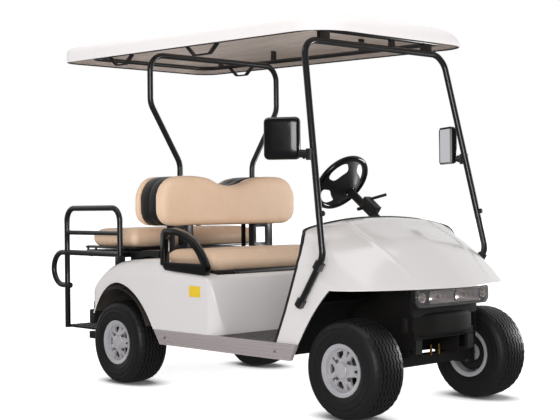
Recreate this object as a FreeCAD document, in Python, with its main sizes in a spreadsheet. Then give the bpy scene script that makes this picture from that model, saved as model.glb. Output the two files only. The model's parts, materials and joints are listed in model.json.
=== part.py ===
import FreeCAD, Part
import math
import os
import re
import Sketcher

# A four-seat golf cart as a parametric document, in millimetres.
# X runs forward, Y to the left, Z up. The origin lies on the ground at the centre of the whole outline.

V = FreeCAD.Vector
doc = FreeCAD.newDocument("GolfCart")
sheet = doc.addObject("Spreadsheet::Sheet", "Sizes")

SIZES = (
    # alias, value
    ("wheelbase", 1700),
    ("front_overhang", 285),        # nose beyond the front axle
    ("rear_overhang", 767),         # handrail bend behind the rear axle
    ("hub_height", 228),
    ("front_track", 909),
    ("rear_track", 965),
    ("tyre_diameter", 456),
    ("tyre_width", 200),
    ("rim_diameter", 242),          # over the flanges
    ("rim_barrel", 104),            # radius of the bead seat
    ("shaft_radius", 14),           # spindle and half shaft
    ("shaft_clearance", 0.15),
    ("seat_gap", 0.3),              # between pieces that only lie against each other
    ("kingpin_radius", 11),
    ("axle_eye_radius", 22),
    ("axle_eye_height", 60),
    ("axle_beam_size", 50),
    ("knuckle_ear", 13.7),
    ("steer_arm_back", 130),
    ("steer_arm_in", 30),
    ("rod_radius", 9),              # tie rod
    ("rod_pin_radius", 6),
    ("rail_half_span", 190),
    ("rail_width", 50),
    ("rail_depth", 40),
    ("floor_rail_z", 272),          # underside of the rails below the floor
    ("axle_rail_z", 345),           # underside where the rails rise over the rear axle
    ("front_rail_z", 345),
    ("tail_rail_z", 225),
    ("floor_thickness", 18),
    ("floor_half_width", 567.5),
    ("rocker_half_width", 592),
    ("rocker_thickness", 24),
    ("rocker_height", 77),
    ("body_half_width", 590),
    ("body_wall", 5),
    ("cowl_half_width", 575),
    ("cowl_top", 907),
    ("cowl_wall", 5),
    ("tube_radius", 16),            # struts and handrails
    ("frame_tube_radius", 12.5),    # roof frame
    ("roof_half_width", 560),
    ("roof_top", 1926),
    ("roof_rear", 580),             # roof's rear edge behind the rear axle
    ("roof_front_back", 90),        # roof's front edge behind the front axle
    ("roof_wall", 5),
    ("front_seat_width", 994),
    ("front_seat_length", 440),
    ("front_seat_base_z", 640),
    ("front_seat_height", 116),
    ("seat_board", 26),
    ("front_back_height", 278),
    ("front_back_width", 994),
    ("back_thickness", 85),
    ("back_shell", 14),             # stiff shell behind each backrest cushion
    ("back_base_z", 872),
    ("rear_seat_width", 940),
    ("rear_seat_length", 450),
    ("rear_seat_height", 105),
    ("rear_deck_z", 738),           # underside of the folding deck
    ("deck_thickness", 12),
    ("handrail_half_span", 500),
    ("handrail_top", 986),
    ("footplate_z", 265),
    ("accessory_span_x", 200),      # bolt holes in the footplate for a rack or hitch
    ("accessory_span_y", 300),
    ("accessory_hole_radius", 5.5),
    ("wheel_hand_radius", 175),     # steering wheel
    ("wheel_hand_tube", 13),
    ("wheel_hand_back", 780),       # its centre behind the front axle
    ("wheel_hand_z", 1096),
    ("column_angle", 37),
    ("column_radius", 22),
    ("column_offset", 270),         # driver's centre line
)
for row, (alias, amount) in enumerate(SIZES, start=1):
    sheet.set(f"A{row}", alias)
    sheet.set(f"B{row}", str(amount))
    sheet.setAlias(f"B{row}", alias)
doc.recompute()
size = {alias: float(sheet.get(alias)) for alias, _ in SIZES}

# Anchors as sheet formulas and as numbers: the two axles and the hinge lines.
REAR = "(rear_overhang-front_overhang-wheelbase)/2"
FRONT = "(rear_overhang-front_overhang+wheelbase)/2"
rear = (size["rear_overhang"] - size["front_overhang"] - size["wheelbase"]) / 2
front = rear + size["wheelbase"]
hub = size["hub_height"]
kingpin = (size["front_track"] - size["tyre_width"]) / 2 + 0.5  # its place out from the middle
gap = size["seat_gap"]
nodes = []


# ---------------------------------------------------------------- helpers

def bound(formula):
    """A formula whose words are aliases of the sheet."""
    return re.sub(r"\b[a-z]\w*", lambda word: "Sizes." + word.group(0), str(formula))


def node(item):
    nodes.append(item)
    return item


def block(label, low, high):
    """A box between two corners given as sheet formulas."""
    box = doc.addObject("Part::Box", label)
    box.Label = label
    for side, start, end in zip(("Length", "Width", "Height"), low, high):
        box.setExpression(side, bound(f"({end})-({start})"))
    for axis, start in zip("xyz", low):
        box.setExpression(f"Placement.Base.{axis}", bound(start))
    return box


def both_sides(source):
    """The piece and its mirror image on the other side of the cart."""
    twin = doc.addObject("Part::Mirroring", source.Label + "_twin")
    twin.Source = source
    twin.Normal = V(0, 1, 0)
    return [source, twin]


def gather(label, members):
    """Several solids of one node."""
    group = doc.addObject("Part::Compound", label)
    group.Label = label
    group.Links = members
    return group


def joined(label, members):
    fuse = doc.addObject("Part::MultiFuse", label)
    fuse.Label = label
    fuse.Shapes = members
    return fuse


def cut(label, base, tool):
    piece = doc.addObject("Part::Cut", label)
    piece.Label = label
    piece.Base = base
    piece.Tool = tool
    return piece


def feature(label, shape):
    piece = doc.addObject("Part::Feature", label)
    piece.Label = label
    piece.Shape = shape
    return piece


def outline(body, name, role, corners, shift=None):
    """A closed sketch of straight edges whose corners are pairs of sheet formulas."""
    sketch = body.newObject("Sketcher::SketchObject", name)
    plane = [part for part in body.Origin.OriginFeatures if part.Role == role][0]
    sketch.AttachmentSupport = [(plane, "")]
    sketch.MapMode = "FlatFace"
    if shift is not None:
        sketch.setExpression("AttachmentOffset.Base.z", bound(shift))
    places = [tuple(worth(value) for value in corner) for corner in corners]
    count = len(places)
    for index in range(count):
        start = V(*places[index], 0)
        end = V(*places[(index + 1) % count], 0)
        sketch.addGeometry(Part.LineSegment(start, end), False)
    for index in range(count):
        sketch.addConstraint(Sketcher.Constraint("Coincident", index, 2, (index + 1) % count, 1))
    for index, corner in enumerate(corners):
        for kind, formula in zip(("DistanceX", "DistanceY"), corner):
            number = sketch.addConstraint(Sketcher.Constraint(kind, -1, 1, index, 1, worth(formula)))
            sketch.setExpression(f"Constraints[{number}]", bound(formula))
    return sketch


def worth(formula):
    """The value of a sheet formula now."""
    if isinstance(formula, (int, float)):
        return float(formula)
    return float(sheet.evalExpression(bound(formula)))


def pad(body, name, sketch, length):
    """Pads the sketch half to each side of its plane."""
    piece = body.newObject("PartDesign::Pad", name)
    piece.Profile = sketch
    piece.SideType = "Symmetric"
    piece.setExpression("Length", bound(length))
    return piece


def new_body(label):
    body = doc.addObject("PartDesign::Body", label)
    body.Label = label
    return body


def place(item, x=0, y=0, z=0, turn=None):
    if turn is not None:
        item.Placement = FreeCAD.Placement(V(0, 0, 0), turn)
    for axis, formula in zip("xyz", (x, y, z)):
        item.setExpression(f"Placement.Base.{axis}", bound(formula))
    return item


def long_edges(shape, direction, length_over):
    """Names of the straight edges that run along a direction."""
    names = []
    for index, edge in enumerate(shape.Edges, start=1):
        if edge.Curve.TypeId != "Part::GeomLine" or edge.Length < length_over:
            continue
        if abs(abs(edge.tangentAt(edge.FirstParameter).dot(direction)) - 1) < 1e-6:
            names.append(f"Edge{index}")
    return names


def rounded(body, name, base, picks, radius):
    """Fillets picked edges of the feature before it."""
    doc.recompute()
    names = []
    for direction, length_over in picks:
        names += long_edges(base.Shape, direction, length_over)
    fillet = body.newObject("PartDesign::Fillet", name)
    fillet.Base = (base, names)
    fillet.Radius = radius
    return fillet


def face_of(points, plane):
    """A polygon's face; an item of three points is an arc's start, middle and end."""
    def raised(point):
        first, second = point
        if plane == "XY":
            return V(first, second, 0)
        if plane == "XZ":
            return V(first, 0, second)
        return V(0, first, second)
    edges = []
    last = None
    first_point = None
    for item in points:
        arc = isinstance(item[0], tuple)
        start = raised(item[0]) if arc else raised(item)
        if last is not None and last.distanceToPoint(start) > 1e-6:
            edges.append(Part.LineSegment(last, start).toShape())
        if arc:
            edges.append(Part.Arc(start, raised(item[1]), raised(item[2])).toShape())
            last = raised(item[2])
        else:
            last = start
        if first_point is None:
            first_point = start
    if last.distanceToPoint(first_point) > 1e-6:
        edges.append(Part.LineSegment(last, first_point).toShape())
    return Part.Face(Part.Wire(edges))


PLANE_NORMAL = {"XY": V(0, 0, 1), "XZ": V(0, 1, 0), "YZ": V(1, 0, 0)}


def prism(points, plane, low, high, inset=0):
    """The outline extruded from low to high along the plane's normal."""
    face = face_of(points, plane)
    if inset:
        face = face.makeOffset2D(-inset)
    normal = PLANE_NORMAL[plane]
    face.translate(normal * low)
    return face.extrude(normal * (high - low))


def box(low, high):
    return Part.makeBox(high[0] - low[0], high[1] - low[1], high[2] - low[2], V(*low))


def rod(start, end, radius):
    start = V(*start)
    run = V(*end) - start
    return Part.makeCylinder(radius, run.Length, start, run)


def tube(points, radius, bends):
    """A round bar along straight runs joined by arcs; bends holds one radius for each inner point."""
    points = [V(*point) for point in points]
    edges = []
    last = points[0]
    for index, bend in enumerate(bends, start=1):
        before = (points[index] - points[index - 1]).normalize()
        after = (points[index + 1] - points[index]).normalize()
        turn = before.getAngle(after)
        reach = bend * math.tan(turn / 2)
        start = points[index] - before * reach
        end = points[index] + after * reach
        inward = (after - before).normalize()
        depth = bend * (1 / math.cos(turn / 2) - 1)
        edges.append(Part.LineSegment(last, start).toShape())
        edges.append(Part.Arc(start, points[index] + inward * depth, end).toShape())
        last = end
    edges.append(Part.LineSegment(last, points[-1]).toShape())
    path = Part.Wire(edges)
    section = Part.Wire(Part.makeCircle(radius, points[0], (points[1] - points[0]).normalize()))
    swept = path.makePipeShell([section], True, False)
    return swept


def mirrored(shape):
    return shape.mirror(V(0, 0, 0), V(0, 1, 0))


def common_of(views, inset=0):
    """The solid whose plan, side and front outlines are given."""
    plan, side, face = views
    solid = prism(plan, "XY", 0, 2500, inset)
    solid = solid.common(prism(side, "XZ", -900, 900, inset))
    return solid.common(prism(face, "YZ", -3000, 3000, inset))


# ---------------------------------------------------------------- wheels

def tyre(label, x, y, outward):
    body = new_body(label)
    half = "tyre_width/2"
    top = "tyre_diameter/2"
    section = (
        # radius, offset from the wheel's middle
        ("rim_barrel+seat_gap", "tyre_width/2-20-seat_gap"),
        ("rim_barrel+3", "tyre_width/2-18.5-seat_gap"),
        ("rim_diameter/2", "tyre_width/2-12-seat_gap"),
        ("rim_diameter/2+4", "tyre_width/2-6"),
        ("rim_diameter/2+28", half),
        (f"{top}-38", half),
        (f"{top}-14", "tyre_width/2-5"),
        (top, "tyre_width/2-26"),
        (top, "26-tyre_width/2"),
        (f"{top}-14", "5-tyre_width/2"),
        (f"{top}-38", "0-tyre_width/2"),
        ("rim_diameter/2+28", "0-tyre_width/2"),
        ("rim_diameter/2+4", "6-tyre_width/2"),
        ("rim_diameter/2", "12+seat_gap-tyre_width/2"),
        ("rim_barrel+3", "18.5+seat_gap-tyre_width/2"),
        ("rim_barrel+seat_gap", "20+seat_gap-tyre_width/2"),
        ("rim_barrel+seat_gap", "40-tyre_width/2"),
        ("rim_diameter/2+28", "14-tyre_width/2"),
        (f"{top}-38", "14-tyre_width/2"),
        (f"{top}-16", "32-tyre_width/2"),
        (f"{top}-16", "tyre_width/2-32"),
        (f"{top}-38", "tyre_width/2-14"),
        ("rim_diameter/2+28", "tyre_width/2-14"),
        ("rim_barrel+seat_gap", "tyre_width/2-40"),
    )
    sketch = outline(body, label + "_section", "XY_Plane", section)
    spin = body.newObject("PartDesign::Revolution", label + "_turned")
    spin.Profile = sketch
    spin.ReferenceAxis = (sketch, ["V_Axis"])
    turn = FreeCAD.Rotation(V(0, 0, 1), 0 if outward > 0 else 180)
    return node(place(body, x, y, "hub_height", turn))


def rim(label, x, y, outward):
    body = new_body(label)
    section = (
        # radius, offset outboard from the wheel's middle
        ("0", "tyre_width/2-6"),
        ("33", "tyre_width/2-6"),
        ("38", "tyre_width/2-18"),
        ("60", "tyre_width/2-24"),
        ("rim_barrel-7", "tyre_width/2-30"),
        ("rim_barrel-4", "tyre_width/2-11"),
        ("rim_diameter/2", "tyre_width/2-5"),
        ("rim_diameter/2", "tyre_width/2-11"),
        ("rim_barrel+2", "tyre_width/2-18"),
        ("rim_barrel", "tyre_width/2-20"),
        ("rim_barrel", "20-tyre_width/2"),
        ("rim_barrel+2", "18-tyre_width/2"),
        ("rim_diameter/2", "11-tyre_width/2"),
        ("rim_diameter/2", "5-tyre_width/2"),
        ("rim_barrel-4", "11-tyre_width/2"),
        ("rim_barrel-6", "20-tyre_width/2"),
        ("rim_barrel-6", "tyre_width/2-44"),
        ("60", "tyre_width/2-38"),
        ("42", "tyre_width/2-42"),
        ("42", "0-tyre_width/4"),
        ("shaft_radius+shaft_clearance", "0-tyre_width/4"),
        ("shaft_radius+shaft_clearance", "tyre_width/2-28"),
        ("0", "tyre_width/2-28"),
    )
    sketch = outline(body, label + "_section", "XY_Plane", section)
    spin = body.newObject("PartDesign::Revolution", label + "_turned")
    spin.Profile = sketch
    spin.ReferenceAxis = (sketch, ["V_Axis"])
    openings = (
        # the wide window between two spoke pairs, then the slot within a pair
        ((-14, 0.86), (-17, 0.72), (-6, 0.52), (6, 0.52), (17, 0.72), (14, 0.86)),
        ((30.5, 0.86), (34, 0.62), (38, 0.62), (41.5, 0.86)),
    )
    windows = []
    for number, window in enumerate(openings):
        corners = [(f"rim_barrel*{share * math.cos(math.radians(angle)):.4f}",
                    f"rim_barrel*{share * math.sin(math.radians(angle)):.4f}") for angle, share in window]
        hole = outline(body, f"{label}_window{number}", "XZ_Plane", corners)
        pocket = body.newObject("PartDesign::Pocket", f"{label}_opening{number}")
        pocket.Profile = hole
        pocket.SideType = "Symmetric"
        pocket.setExpression("Length", bound("tyre_width*2"))
        windows.append(pocket)
    ring = body.newObject("PartDesign::PolarPattern", label + "_spokes")
    ring.Originals = windows
    ring.Axis = ([part for part in body.Origin.OriginFeatures if part.Role == "Y_Axis"][0], [""])
    ring.Angle = 360
    ring.Occurrences = 5
    body.Tip = ring
    turn = FreeCAD.Rotation(V(0, 0, 1), 0 if outward > 0 else 180)
    return node(place(body, x, y, "hub_height", turn))


def wheels():
    corners = (
        # name, axle, track, side
        ("front_left", FRONT, "front_track/2", 1),
        ("front_right", FRONT, "0-front_track/2", -1),
        ("rear_left", REAR, "rear_track/2", 1),
        ("rear_right", REAR, "0-rear_track/2", -1),
    )
    for name, x, y, side in corners:
        tyre("tyre_" + name, x, y, side)
        rim("rim_" + name, x, y, side)


# ---------------------------------------------------------------- chassis

def rails():
    body = new_body("rail")
    low = (
        # distance from the axle named, height of the underside
        (f"{REAR}-640", "tail_rail_z"),
        (f"{REAR}-260", "tail_rail_z"),
        (f"{REAR}-170", "axle_rail_z"),
        (f"{REAR}+190", "axle_rail_z"),
        (f"{REAR}+290", "floor_rail_z"),
        (f"{FRONT}-300", "floor_rail_z"),
        (f"{FRONT}-230", "front_rail_z"),
        (f"{FRONT}+150", "front_rail_z"),
    )
    high = [(x, z + "+rail_depth") for x, z in reversed(low)]
    sketch = outline(body, "rail_side", "XZ_Plane", list(low) + high, "0-rail_half_span")
    pad(body, "rail_pad", sketch, "rail_width")
    node(gather("chassis_rails", both_sides(body)))


def crossmembers():
    inner = "rail_half_span-rail_width/2"
    outer = "rail_half_span+rail_width/2"
    middle = f"({REAR}+{FRONT})/2"
    between = (
        # centre, underside
        (f"{REAR}-600", "tail_rail_z"),
        (f"{REAR}-300", "tail_rail_z"),
        (f"{REAR}+170", "axle_rail_z"),
        (f"{REAR}+360", "floor_rail_z"),
        (middle, "floor_rail_z"),
        (f"{FRONT}-340", "floor_rail_z"),
        (f"{FRONT}+120", "front_rail_z"),
    )
    members = []
    for number, (x, z) in enumerate(between):
        members.append(block(f"crossmember_{number}", (f"{x}-20", f"0-({inner})", z),
                             (f"{x}+20", inner, f"{z}+rail_depth")))
    outward = (
        # centre, half width, underside, outer end
        (f"{REAR}-291", 28, "tail_rail_z", "body_half_width-50"),
        (f"{REAR}+450", 20, "floor_rail_z", "rocker_half_width-rocker_thickness"),
        (middle, 20, "floor_rail_z", "rocker_half_width-rocker_thickness"),
        (f"{FRONT}-330", 20, "floor_rail_z", "rocker_half_width-rocker_thickness"),
    )
    for number, (x, half, z, end) in enumerate(outward):
        arm = block(f"outrigger_{number}", (f"{x}-{half}", outer, z), (f"{x}+{half}", end, f"{z}+rail_depth"))
        members += both_sides(arm)
    node(gather("crossmembers", members))


def floor_and_battery():
    top = "floor_rail_z+rail_depth"
    node(block("floor_mat", (f"{REAR}+892", "0-floor_half_width", top),
               (f"{FRONT}-320", "floor_half_width", f"{top}+floor_thickness")))
    node(block("battery_tray", (f"{REAR}+330", "-345", top), (f"{REAR}+740", "345", f"{top}+6")))
    node(block("battery_pack", (f"{REAR}+345", "-330", f"{top}+6"), (f"{REAR}+725", "330", f"{top}+266")))
    rocker = new_body("rocker")
    bottom = "floor_rail_z+rail_depth+floor_thickness-3-rocker_height"
    corners = (
        (f"{REAR}+413", bottom), (f"{FRONT}-292", bottom),
        (f"{FRONT}-249", f"{bottom}+rocker_height"), (f"{REAR}+360", f"{bottom}+rocker_height"),
    )
    sketch = outline(rocker, "rocker_side", "XZ_Plane", corners, "rocker_thickness/2-rocker_half_width")
    pad(rocker, "rocker_pad", sketch, "rocker_thickness")
    node(gather("rocker_panels", both_sides(rocker)))


def driver_controls():
    floor_top = size["floor_rail_z"] + size["rail_depth"] + size["floor_thickness"]
    toe = front - 320
    knee = size["cowl_top"] - 347
    brow = size["cowl_top"] - 57
    low = size["floor_rail_z"] + size["rail_depth"]
    wall = [(toe, low), (toe + 6, low), (toe + 6, knee), (toe + 76, brow), (toe + 70, brow), (toe, knee)]
    panel = prism(wall, "XZ", -490, 490)
    slope = math.radians(size["column_angle"])
    forward = V(math.cos(slope), 0, -math.sin(slope))
    hub_place = V(front - size["wheel_hand_back"], size["column_offset"], size["wheel_hand_z"])
    shell = Part.makeCylinder(size["column_radius"], 620, hub_place + forward * 58, forward)
    bore = Part.makeCylinder(10 + size["shaft_clearance"], 100, hub_place + forward * 50, forward)
    switch = box((-30, -24, -6), (70, 24, 52))
    switch.Placement = FreeCAD.Placement(hub_place + forward * 230, FreeCAD.Rotation(V(0, 1, 0), size["column_angle"]))
    knob = hub_place + forward * 225
    stalk = rod(knob + V(20, 0, 40), knob + V(60, 95, 66), 8)
    stub = rod(knob, knob + V(0, -60, -10), 9)
    column = shell.fuse([switch, stalk, stub]).cut(bore)
    node(feature("steering_column", column.removeSplitter()))
    sleeve = Part.makeCylinder(size["column_radius"] + gap, 900, hub_place, forward)
    node(feature("dash_panel", panel.cut(sleeve)))
    pedal = [(toe - 95, floor_top), (toe - 84, floor_top), (toe - 14, floor_top + 108), (toe - 22, floor_top + 114)]
    pads = [prism(pedal, "XZ", y - 35, y + 35) for y in (190, 330)]
    node(feature("pedals", Part.makeCompound(pads)))


def steering_wheel():
    """The hand wheel, turned about its own axis and then leaned with the column."""
    body = new_body("steering_wheel")
    slope = math.radians(size["column_angle"])
    disc = outline(body, "wheel_hub", "XZ_Plane", (("0", "-52"), ("28", "-52"), ("36", "-34"), ("70", "-16"),
                                                   ("75", "0"), ("68", "10"), ("0", "10")))
    spin = body.newObject("PartDesign::Revolution", "wheel_hub_turned")
    spin.Profile = disc
    spin.ReferenceAxis = (disc, ["V_Axis"])
    ring = body.newObject("Sketcher::SketchObject", "wheel_rim")
    plane = [part for part in body.Origin.OriginFeatures if part.Role == "XZ_Plane"][0]
    ring.AttachmentSupport = [(plane, "")]
    ring.MapMode = "FlatFace"
    ring.addGeometry(Part.Circle(V(size["wheel_hand_radius"] - size["wheel_hand_tube"], 0, 0), V(0, 0, 1),
                                 size["wheel_hand_tube"]), False)
    centre_x = ring.addConstraint(Sketcher.Constraint("DistanceX", -1, 1, 0, 3, size["wheel_hand_radius"] - 13))
    ring.setExpression(f"Constraints[{centre_x}]", bound("wheel_hand_radius-wheel_hand_tube"))
    ring.addConstraint(Sketcher.Constraint("DistanceY", -1, 1, 0, 3, 0))
    thick = ring.addConstraint(Sketcher.Constraint("Radius", 0, size["wheel_hand_tube"]))
    ring.setExpression(f"Constraints[{thick}]", bound("wheel_hand_tube"))
    grip = body.newObject("PartDesign::Revolution", "wheel_rim_turned")
    grip.Profile = ring
    grip.ReferenceAxis = (ring, ["V_Axis"])
    reach = "wheel_hand_radius-wheel_hand_tube"
    for number, (low, high) in enumerate(((-1, 1), (0, 1), (0, -1))):
        if number == 0:
            corners = (("-17", f"0-({reach})"), ("17", f"0-({reach})"), ("17", "-20"), ("-17", "-20"))
        else:
            corners = ((f"{high}*20", "-16"), (f"{high}*({reach})", "8"), (f"{high}*({reach})", "38"),
                       (f"{high}*20", "16"))
        spoke = outline(body, f"wheel_spoke{number}", "XY_Plane", corners, "-10")
        pad(body, f"wheel_spoke{number}_pad", spoke, "9")
    lean = FreeCAD.Rotation(V(0, 1, 0), size["column_angle"] - 90)
    centre = V(front - size["wheel_hand_back"], size["column_offset"], size["wheel_hand_z"])
    body.Placement = FreeCAD.Placement(centre, lean.multiply(FreeCAD.Rotation(V(0, 0, 1), -90)))
    forward = V(math.cos(slope), 0, -math.sin(slope))
    shaft = feature("wheel_shaft", Part.makeCylinder(10, 130, centre, forward))
    body.Label = "wheel_casting"
    return node(joined("steering_wheel", [body, shaft]))


# ---------------------------------------------------------------- axles and steering

def front_axle():
    span = kingpin
    half = size["axle_beam_size"] / 2
    beam = box((front - half, -(span - 12), hub - half), (front + half, span - 12, hub + half))
    tall = size["axle_eye_height"]
    for side in (1, -1):
        eye = rod((front, side * span, hub - tall / 2), (front, side * span, hub + tall / 2),
                  size["axle_eye_radius"])
        beam = beam.fuse(eye)
    for side in (1, -1):
        beam = beam.cut(rod((front, side * span, hub - tall), (front, side * span, hub + tall),
                            size["kingpin_radius"] + size["shaft_clearance"]))
    node(feature("front_axle", beam.removeSplitter()))


def knuckle(label, side, rod_pin):
    """The fork, kingpin, spindle and steering arm of one front wheel, with or without the tie rod's pin."""
    span = kingpin
    tall = size["axle_eye_height"] / 2 + gap
    ear = size["knuckle_ear"]
    parts = [rod((front, side * span, hub - tall - ear), (front, side * span, hub + tall + ear),
                 size["kingpin_radius"])]
    web = span + size["axle_eye_radius"] + 6
    for low in (hub + tall, hub - tall - ear):
        lug = box((front - 20, min(side * span, side * (web + 10)), low),
                  (front + 20, max(side * span, side * (web + 10)), low + ear))
        parts += [lug, rod((front, side * span, low), (front, side * span, low + ear), 20)]
    parts.append(box((front - 20, min(side * web, side * (web + 10)), hub - tall - ear),
                     (front + 20, max(side * web, side * (web + 10)), hub + tall + ear)))
    tip = size["front_track"] / 2 + size["tyre_width"] / 2 - 30
    parts.append(rod((front, side * web, hub), (front, side * tip, hub), size["shaft_radius"]))
    low = hub - tall - ear
    eye = (front - size["steer_arm_back"], side * (span - size["steer_arm_in"]))
    along = V(eye[0] - front, eye[1] - side * span, 0)
    across = V(-along.y, along.x, 0).normalize() * 12
    corners = [V(front, side * span, low) + across, V(front, side * span, low) - across,
               V(eye[0], eye[1], low) - across, V(eye[0], eye[1], low) + across]
    arm = Part.Face(Part.makePolygon(corners + corners[:1])).extrude(V(0, 0, ear))
    parts += [arm, rod((eye[0], eye[1], low), (eye[0], eye[1], low + ear), 14)]
    if rod_pin:
        parts.append(rod((eye[0], eye[1], low), (eye[0], eye[1], low + ear + 2 * size["rod_radius"] + 6),
                         size["rod_pin_radius"]))
    whole = parts[0].fuse(parts[1:]).removeSplitter()
    return node(feature(label, whole))


def tie_rod():
    tall = size["axle_eye_height"] / 2 + gap
    z = hub - tall + gap + size["rod_radius"]
    x = front - size["steer_arm_back"]
    reach = kingpin - size["steer_arm_in"]
    bar = rod((x, 10 - reach, z), (x, reach - 10, z), size["rod_radius"] - 1)
    ends = [rod((x, side * reach, z - size["rod_radius"]), (x, side * reach, z + size["rod_radius"]), 15)
            for side in (1, -1)]
    bore = size["rod_pin_radius"] + size["shaft_clearance"]
    rings = [end.cut(rod((x, side * reach, z - 30), (x, side * reach, z + 30), bore))
             for side, end in zip((1, -1), ends)]
    node(feature("tie_rod", bar.fuse(rings)))


def leaf(x, y, z, width, half_length, rise):
    """One leaf spring, its ends curving up to the hangers."""
    side = [((x - half_length, z + rise), (x, z), (x + half_length, z + rise)),
            ((x + half_length, z + rise + 9), (x, z + 26), (x - half_length, z + rise + 9))]
    return prism(side, "XZ", y - width / 2, y + width / 2)


def springs():
    beam_top = hub + size["axle_beam_size"] / 2
    rise = 26
    pieces = []
    for side in (1, -1):
        y = side * size["rail_half_span"]
        spring = leaf(front, y, beam_top, 44, 150, rise)
        hangers = []
        for x in (front - 146, front + 146):
            hangers.append(box((x - 10, y - 22, beam_top + rise + 2), (x + 10, y + 22, size["front_rail_z"])))
        pieces.append(spring.fuse(hangers).removeSplitter())
    axle_top = hub + 32
    outer = size["rail_half_span"] + size["rail_width"] / 2
    for side in (1, -1):
        y = side * (outer + 27)
        spring = leaf(rear, y, axle_top, 50, 260, 40)
        hangers = []
        for x, z in ((rear - 246, size["tail_rail_z"] + 30), (rear + 270, size["floor_rail_z"])):
            low, high = sorted((side * outer, side * (outer + 52)))
            hangers.append(box((x - 14, low, z), (x + 14, high, axle_top + 58)))
        pieces.append(spring.fuse(hangers).removeSplitter())
    node(feature("leaf_springs", Part.makeCompound(pieces)))


def rear_drive():
    tip = size["rear_track"] / 2 + size["tyre_width"] / 2 - 30
    drum = size["rear_track"] / 2 - size["tyre_width"] / 4 - 6
    casing = rod((rear, -drum - 1, hub), (rear, drum + 1, hub), 32)
    shafts = rod((rear, -tip, hub), (rear, tip, hub), size["shaft_radius"])
    gear = [rod((rear, 5, hub), (rear, 75, hub), 84), rod((rear + 128, 5, hub + 18), (rear + 128, 75, hub + 18), 78),
            box((rear, 8, hub - 60), (rear + 128, 72, hub + 84))]
    drums = [rod((rear, side * (drum - 24), hub), (rear, side * drum, hub), 78) for side in (1, -1)]
    node(feature("rear_axle", casing.fuse([shafts] + gear + drums).removeSplitter()))
    motor = doc.addObject("Part::Cylinder", "drive_motor")
    motor.Label = "drive_motor"
    motor.Radius = 76
    motor.Height = 165
    place(motor, f"{REAR}+128", "5-seat_gap", "hub_height+18", FreeCAD.Rotation(V(1, 0, 0), 90))
    node(motor)


# ---------------------------------------------------------------- body shell

def cowl_views():
    wide = size["cowl_half_width"]
    nose = front + size["front_overhang"]
    plan = [(front - 440, -wide), (front - 10, -wide),
            ((front - 10, -wide), (front + 150, -450), (front + 210, -350)),
            ((front + 210, -350), (nose, 0), (front + 210, 350)),
            ((front + 210, 350), (front + 150, 450), (front - 10, wide)), (front - 440, wide)]
    top = size["cowl_top"]
    side = [(front - 460, 150), (nose - 8, 150), (nose, top - 307),
            ((nose, top - 307), (front + 130, top - 167), (front - 60, top - 52)),
            ((front - 60, top - 52), (front - 180, top - 12), (front - 330, top)), (front - 460, top)]
    flank = top - 167
    ends = [(-wide, 100), (wide, 100), (wide, flank), ((wide, flank), (wide - 35, top - 69), (wide - 135, top - 29)),
            ((wide - 135, top - 29), (0, top), (135 - wide, top - 29)),
            ((135 - wide, top - 29), (35 - wide, top - 69), (-wide, flank))]
    return plan, side, ends


def front_cowl():
    views = cowl_views()
    skin = common_of(views).cut(common_of(views, size["cowl_wall"]))
    nose = front + size["front_overhang"]
    keep = [(front - 397, 327 + gap), (front - 247, 327 + gap), (front - 231, 351),
            ((front - 231, 351), (front - 140, 482), (front - 40, 587)),
            (nose + 40, 590), (nose + 40, 960), (front - 262, 960), (front - 262, 870), (front - 208, 835),
            (front - 245, 744), (front - 294, 603)]
    node(feature("front_cowl", skin.common(prism(keep, "XZ", -900, 900))))
    shield = [(-283, 540), (-283, 415), (-228, 372), (228, 372), (283, 415), (283, 540)]
    start = front + 150
    node(feature("front_shield", prism(shield, "YZ", start, start + 14)))
    node(feature("light_bar_housing", prism([(-258, 590), (-258, 520), (-232, 497), (232, 497), (258, 520),
                                             (258, 590)], "YZ", start + 14, start + 46)))
    node(feature("light_bar_lens", prism([(-256, 588), (-256, 521), (-231, 499), (231, 499), (256, 521),
                                          (256, 588)], "YZ", start + 46 + gap, start + 68)))


def liner(x, radius, low_angle, high_angle, low, high):
    """An arched sheet over a wheel."""
    def at(r, angle):
        return (x + r * math.cos(math.radians(angle)), hub + r * math.sin(math.radians(angle)))
    middle = (low_angle + high_angle) / 2
    ring = [(at(radius, low_angle), at(radius, middle), at(radius, high_angle)),
            (at(radius + 4, high_angle), at(radius + 4, middle), at(radius + 4, low_angle))]
    return prism(ring, "XZ", low, high)


def liners():
    arch = liner(front, 310, 66, 158, size["rail_half_span"] + size["rail_width"] / 2 + 4, size["cowl_half_width"])
    arch = arch.common(common_of(cowl_views(), size["cowl_wall"] + gap))
    sheets = [arch, mirrored(arch)]
    arch = liner(rear, 300, 26, 148, 352, size["body_half_width"])
    arch = arch.common(common_of(rear_body_views(), size["body_wall"] + gap))
    sheets += [arch, mirrored(arch)]
    node(feature("wheel_liners", Part.makeCompound(sheets)))


def rear_body_views():
    wide = size["body_half_width"]
    tail = rear - 226
    plan = [(tail, -(wide - 50)), ((tail, -(wide - 50)), (tail + 15, -(wide - 15)), (tail + 50, -wide)),
            (rear + 800, -wide), ((rear + 800, -wide), (rear + 866, -(wide - 27)), (rear + 890, -(wide - 90))),
            (rear + 890, wide - 90), ((rear + 890, wide - 90), (rear + 866, wide - 27), (rear + 800, wide)),
            (tail + 50, wide), ((tail + 50, wide), (tail + 15, wide - 15), (tail, wide - 50))]
    side = [(tail, 200), (rear + 900, 200), (rear + 900, 327), (rear + 848, 590), (rear + 800, 622),
            (rear + 440, 640), (rear + 400, 700), (rear + 208, 693),
            ((rear + 208, 693), (rear - 20, 672), (rear - 130, 608)),
            ((rear - 130, 608), (rear - 200, 520), (tail, 452))]
    ends = [(-wide, 100), (wide, 100), (wide, 590), ((wide, 590), (572, 668), (500, 712)), (-500, 712),
            ((-500, 712), (-572, 668), (-wide, 590))]
    return plan, side, ends


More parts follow.
